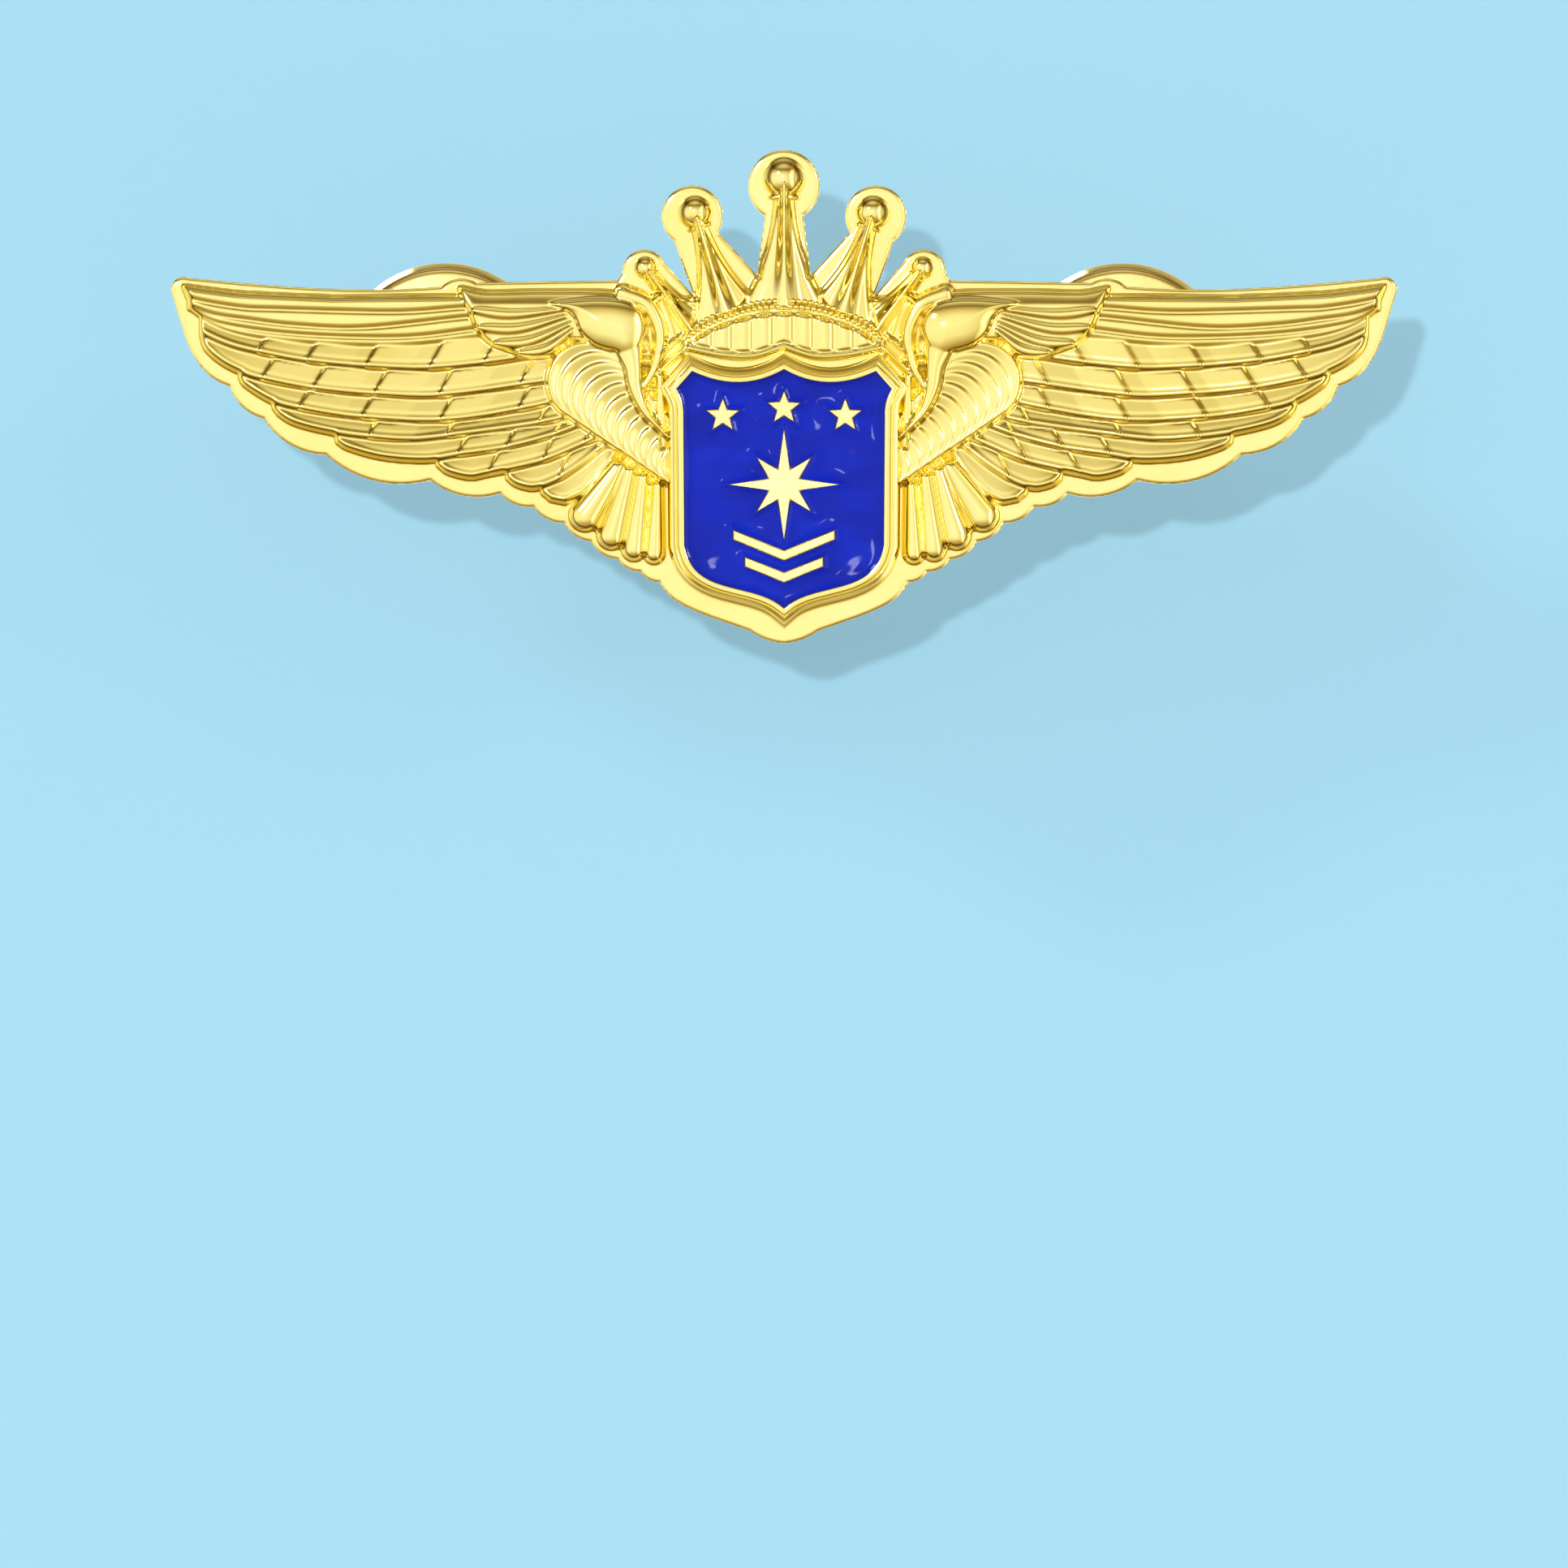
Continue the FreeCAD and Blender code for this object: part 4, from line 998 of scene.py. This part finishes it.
def spring_leaf():
    """The spring's flat middle: a rounded leaf with a hole for the needle."""
    count, power, hole = 96, 5, 0.86
    turn = np.linspace(0, 2 * math.pi, count, endpoint=False)
    corners = np.abs(np.cos(turn) / 2.3) ** power + np.abs(np.sin(turn) / 1.3) ** power
    reach = corners ** (-1 / power)
    rings = []
    for radius, height in (
        (reach, 0.36), (reach, 0.54), (reach - 0.06, 0.6), (hole, 0.6), (hole, 0.36)
    ):
        circle = [radius * np.cos(turn), radius * np.sin(turn), np.full(count, height)]
        rings.append(np.stack(circle, 1))
    return np.concatenate(rings), [strip_faces(count, len(rings), True, True)]


POST, CLUTCH = ("gold_post", post_gold), ("gold_clutch", clutch_gold)


def place(name, node, shape, sign, lift, turn, body, slot, material):
    """A piece of a post or clutch, in the place of a CAD node."""
    points, faces = shape
    faces = [group[:, ::-1] for group in faces]
    piece = make_piece(name, on_post(points, sign, lift, turn), faces, body, slot, material)
    sharpen(piece, 40)
    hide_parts(node)


post_shapes = {"base": turned(BASE_PROFILE, 96), "needle": turned(NEEDLE_PROFILE, 64)}
clutch_shapes = {"cup": cup(), "bridge": bridge_sheet(), "spring_base": spring_leaf()}
wing_shape = joined([wing_sheet(), knuckle()])
for side, sign in (("left", -1), ("right", 1)):
    for part, shape in post_shapes.items():
        place(f"{side}_{part}", f"{side}_post_{part}", shape, sign, 0, TURN, "badge", *POST)
    for part, shape in clutch_shapes.items():
        place(f"{side}_{part}", f"{side}_clutch_{part}", shape, sign, CLUTCH_LIFT, TURN,
              f"{side}_clutch", *CLUTCH)
    for letter, half_turn in (("a", 0), ("b", math.pi)):
        place(f"{side}_squeeze_wing_{letter}", f"{side}_clutch_wing_{letter}", wing_shape, sign,
              CLUTCH_LIFT, TURN + half_turn, f"{side}_wing_{letter}", *CLUTCH)

for piece in casting:
    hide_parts("badge_casting")
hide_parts("shield_enamel")

# -------- backdrop, light and camera

WALL_BEHIND, WALL_HALF = 0.027, 0.4  # metres
FAR_RADIUS = 1.9  # metres


def stage_piece(name, mesh, material, unseen_by):
    """A piece of the set, which the given kinds of ray don't see."""
    mesh.materials.append(material)
    piece = add_object(name, mesh)
    for ray in unseen_by:
        setattr(piece, f"visible_{ray}", False)


def backdrop():
    """A pale blue wall behind the pin, seen only from its front."""
    material, tree, shader = new_material("pale_blue_wall")
    tone = spread(tree, noise(tree, 12, 2))
    feed(tree, shader, {
        "Base Color": blend_colours(tree, tone, (0.172, 0.313, 0.386), (0.176, 0.319, 0.392)),
        "Roughness": 0.9,
        "Specular IOR Level": 0.1,
        "Emission Color": (0.134, 0.264, 0.38, 1),
        "Emission Strength": 1.0,
    })
    behind = tree.nodes.new("ShaderNodeNewGeometry").outputs["Backfacing"]
    clear = tree.nodes.new("ShaderNodeBsdfTransparent").outputs["BSDF"]
    inputs = {"Fac": behind, 1: shader.outputs["BSDF"], 2: clear}
    choose = add_node(tree, "ShaderNodeMixShader", inputs)
    feed(tree, tree.nodes["Material Output"], {"Surface": choose.outputs["Shader"]})
    mesh = bpy.data.meshes.new("wall")
    spots = [(-1, -1), (1, -1), (1, 1), (-1, 1)]
    corners = [(x * WALL_HALF, WALL_BEHIND, z * WALL_HALF) for x, z in spots]
    mesh.from_pydata(corners, [], [(0, 1, 2, 3)])
    stage_piece("wall", mesh, material, ["glossy"])


def far_background():
    """A pale blue sphere far round the scene, seen only by the camera past the wall's edges."""
    material, tree, shader = new_material("far_blue")
    tree.nodes.remove(shader)
    glow = add_node(tree, "ShaderNodeEmission", {"Color": (0.397, 0.737, 0.896, 1)})
    feed(tree, tree.nodes["Material Output"], {"Surface": glow.outputs["Emission"]})
    mesh = bpy.data.meshes.new("far_background")
    form = bmesh.new()
    bmesh.ops.create_icosphere(form, subdivisions=4, radius=FAR_RADIUS)
    form.to_mesh(mesh)
    form.free()
    stage_piece("far_background", mesh, material, ["glossy", "diffuse", "shadow", "transmission"])


WHITE = (1.0, 1.0, 1.0)
# The room's light by direction, for each axis from its negative end to its positive one.
ROOM_TONES = {
    "Z": [
        (0.0, (0.3, 0.19, 0.06)), (0.14, (0.5, 0.4, 0.2)), (0.32, (0.95, 0.92, 0.8)),
        (0.5, WHITE), (0.66, (0.95, 0.92, 0.82)), (0.77, (0.62, 0.54, 0.34)),
        (0.85, (0.2, 0.14, 0.05)), (0.91, (0.5, 0.44, 0.28)), (1.0, (0.98, 0.96, 0.88)),
    ],
    "Y": [
        (0.0, WHITE), (0.3, (0.97, 0.96, 0.93)), (0.44, (0.26, 0.18, 0.08)),
        (0.56, (0.22, 0.15, 0.07)), (0.68, (0.64, 0.63, 0.59)), (0.86, (0.68, 0.67, 0.64)),
        (1.0, WHITE),
    ],
    "X": [
        (0.0, WHITE), (0.5, WHITE), (0.74, (0.8, 0.75, 0.6)),
        (0.8, (1.8, 1.76, 1.65)), (0.86, (1.8, 1.76, 1.65)), (0.91, (0.62, 0.55, 0.4)),
        (1.0, (0.9, 0.86, 0.74)),
    ],
}
# Bright softboxes: direction to each, the angles where it is full and where it ends, brightness.
SOFTBOXES = [
    ((-0.5, -0.75, 0.42), 4, 5.5, 20.0),
    ((0.62, -0.75, 0.22), 2.5, 4, 14.0),
    ((-0.15, -0.98, 0.13), 2, 3, 14.0),
    ((-0.3, 0.8, 0.5), 5, 7, 12.0),
]
ROOM_STRENGTH = 1.15


def studio_light():
    """A pale room whose brightness changes with direction, so that the gold has bands to reflect."""
    world = bpy.data.worlds.new("studio")
    bpy.context.scene.world = world
    world.use_nodes = True
    tree = world.node_tree
    direction = tree.nodes.new("ShaderNodeTexCoord").outputs["Generated"]
    split = add_node(tree, "ShaderNodeSeparateXYZ", {"Vector": direction})
    light, *others = [
        colour_ramp(tree, spread(tree, split.outputs[axis], 0, 1, -1, 1), stops)
        for axis, stops in ROOM_TONES.items()
    ]
    for tone in others:
        light = vector_math(tree, "MULTIPLY", light, tone).outputs["Vector"]
    for towards, narrow, wide, power in SOFTBOXES:
        towards = Vector(towards).normalized()
        nearness = vector_math(tree, "DOT_PRODUCT", direction, towards).outputs["Value"]
        limits = [math.cos(math.radians(angle)) for angle in (wide, narrow)]
        lit = spread(tree, nearness, 0, power, *limits)
        light = vector_math(tree, "ADD", light, lit).outputs["Vector"]
    feed(tree, tree.nodes["Background"], {"Color": light, "Strength": ROOM_STRENGTH})


def colour_ramp(tree, value, stops):
    """A colour that changes with a value through (place, colour) stops."""
    node = add_node(tree, "ShaderNodeValToRGB", {"Fac": value})
    elements = node.color_ramp.elements
    while len(elements) < len(stops):
        elements.new(0.5)
    for element, (spot, colour) in zip(elements, stops):
        element.position = spot
        element.color = (*colour, 1)
    return node.outputs["Color"]


def key_light():
    """A narrow sun from the camera's side, which casts the pin's shadow on the wall."""
    light = bpy.data.lights.new("key_light", "SUN")
    light.energy = 1.8
    light.angle = math.radians(1.0)
    lamp = add_object("key_light", light)
    lamp.rotation_mode = "QUATERNION"
    lamp.rotation_quaternion = Vector((0.074, 1.0, -0.064)).to_track_quat("-Z", "Y")
    lamp.visible_glossy = False


bpy.context.scene.view_settings.view_transform = "Standard"
backdrop()
far_background()
studio_light()
key_light()

# In metres: what the frame shows from side to side, the camera's distance and its height.
FRAME_WIDTH, CAMERA_AWAY, CAMERA_HEIGHT = 0.0821, 1.6, -0.0216
SENSOR = 36
view = bpy.data.cameras.new("front_camera")
view.sensor_width = SENSOR
view.lens = SENSOR * CAMERA_AWAY / FRAME_WIDTH
view.clip_start = 0.01
camera = add_object("front_camera", view)
camera.location = (0, -CAMERA_AWAY, CAMERA_HEIGHT)
camera.rotation_euler = (math.radians(90), 0, 0)
bpy.context.scene.camera = camera
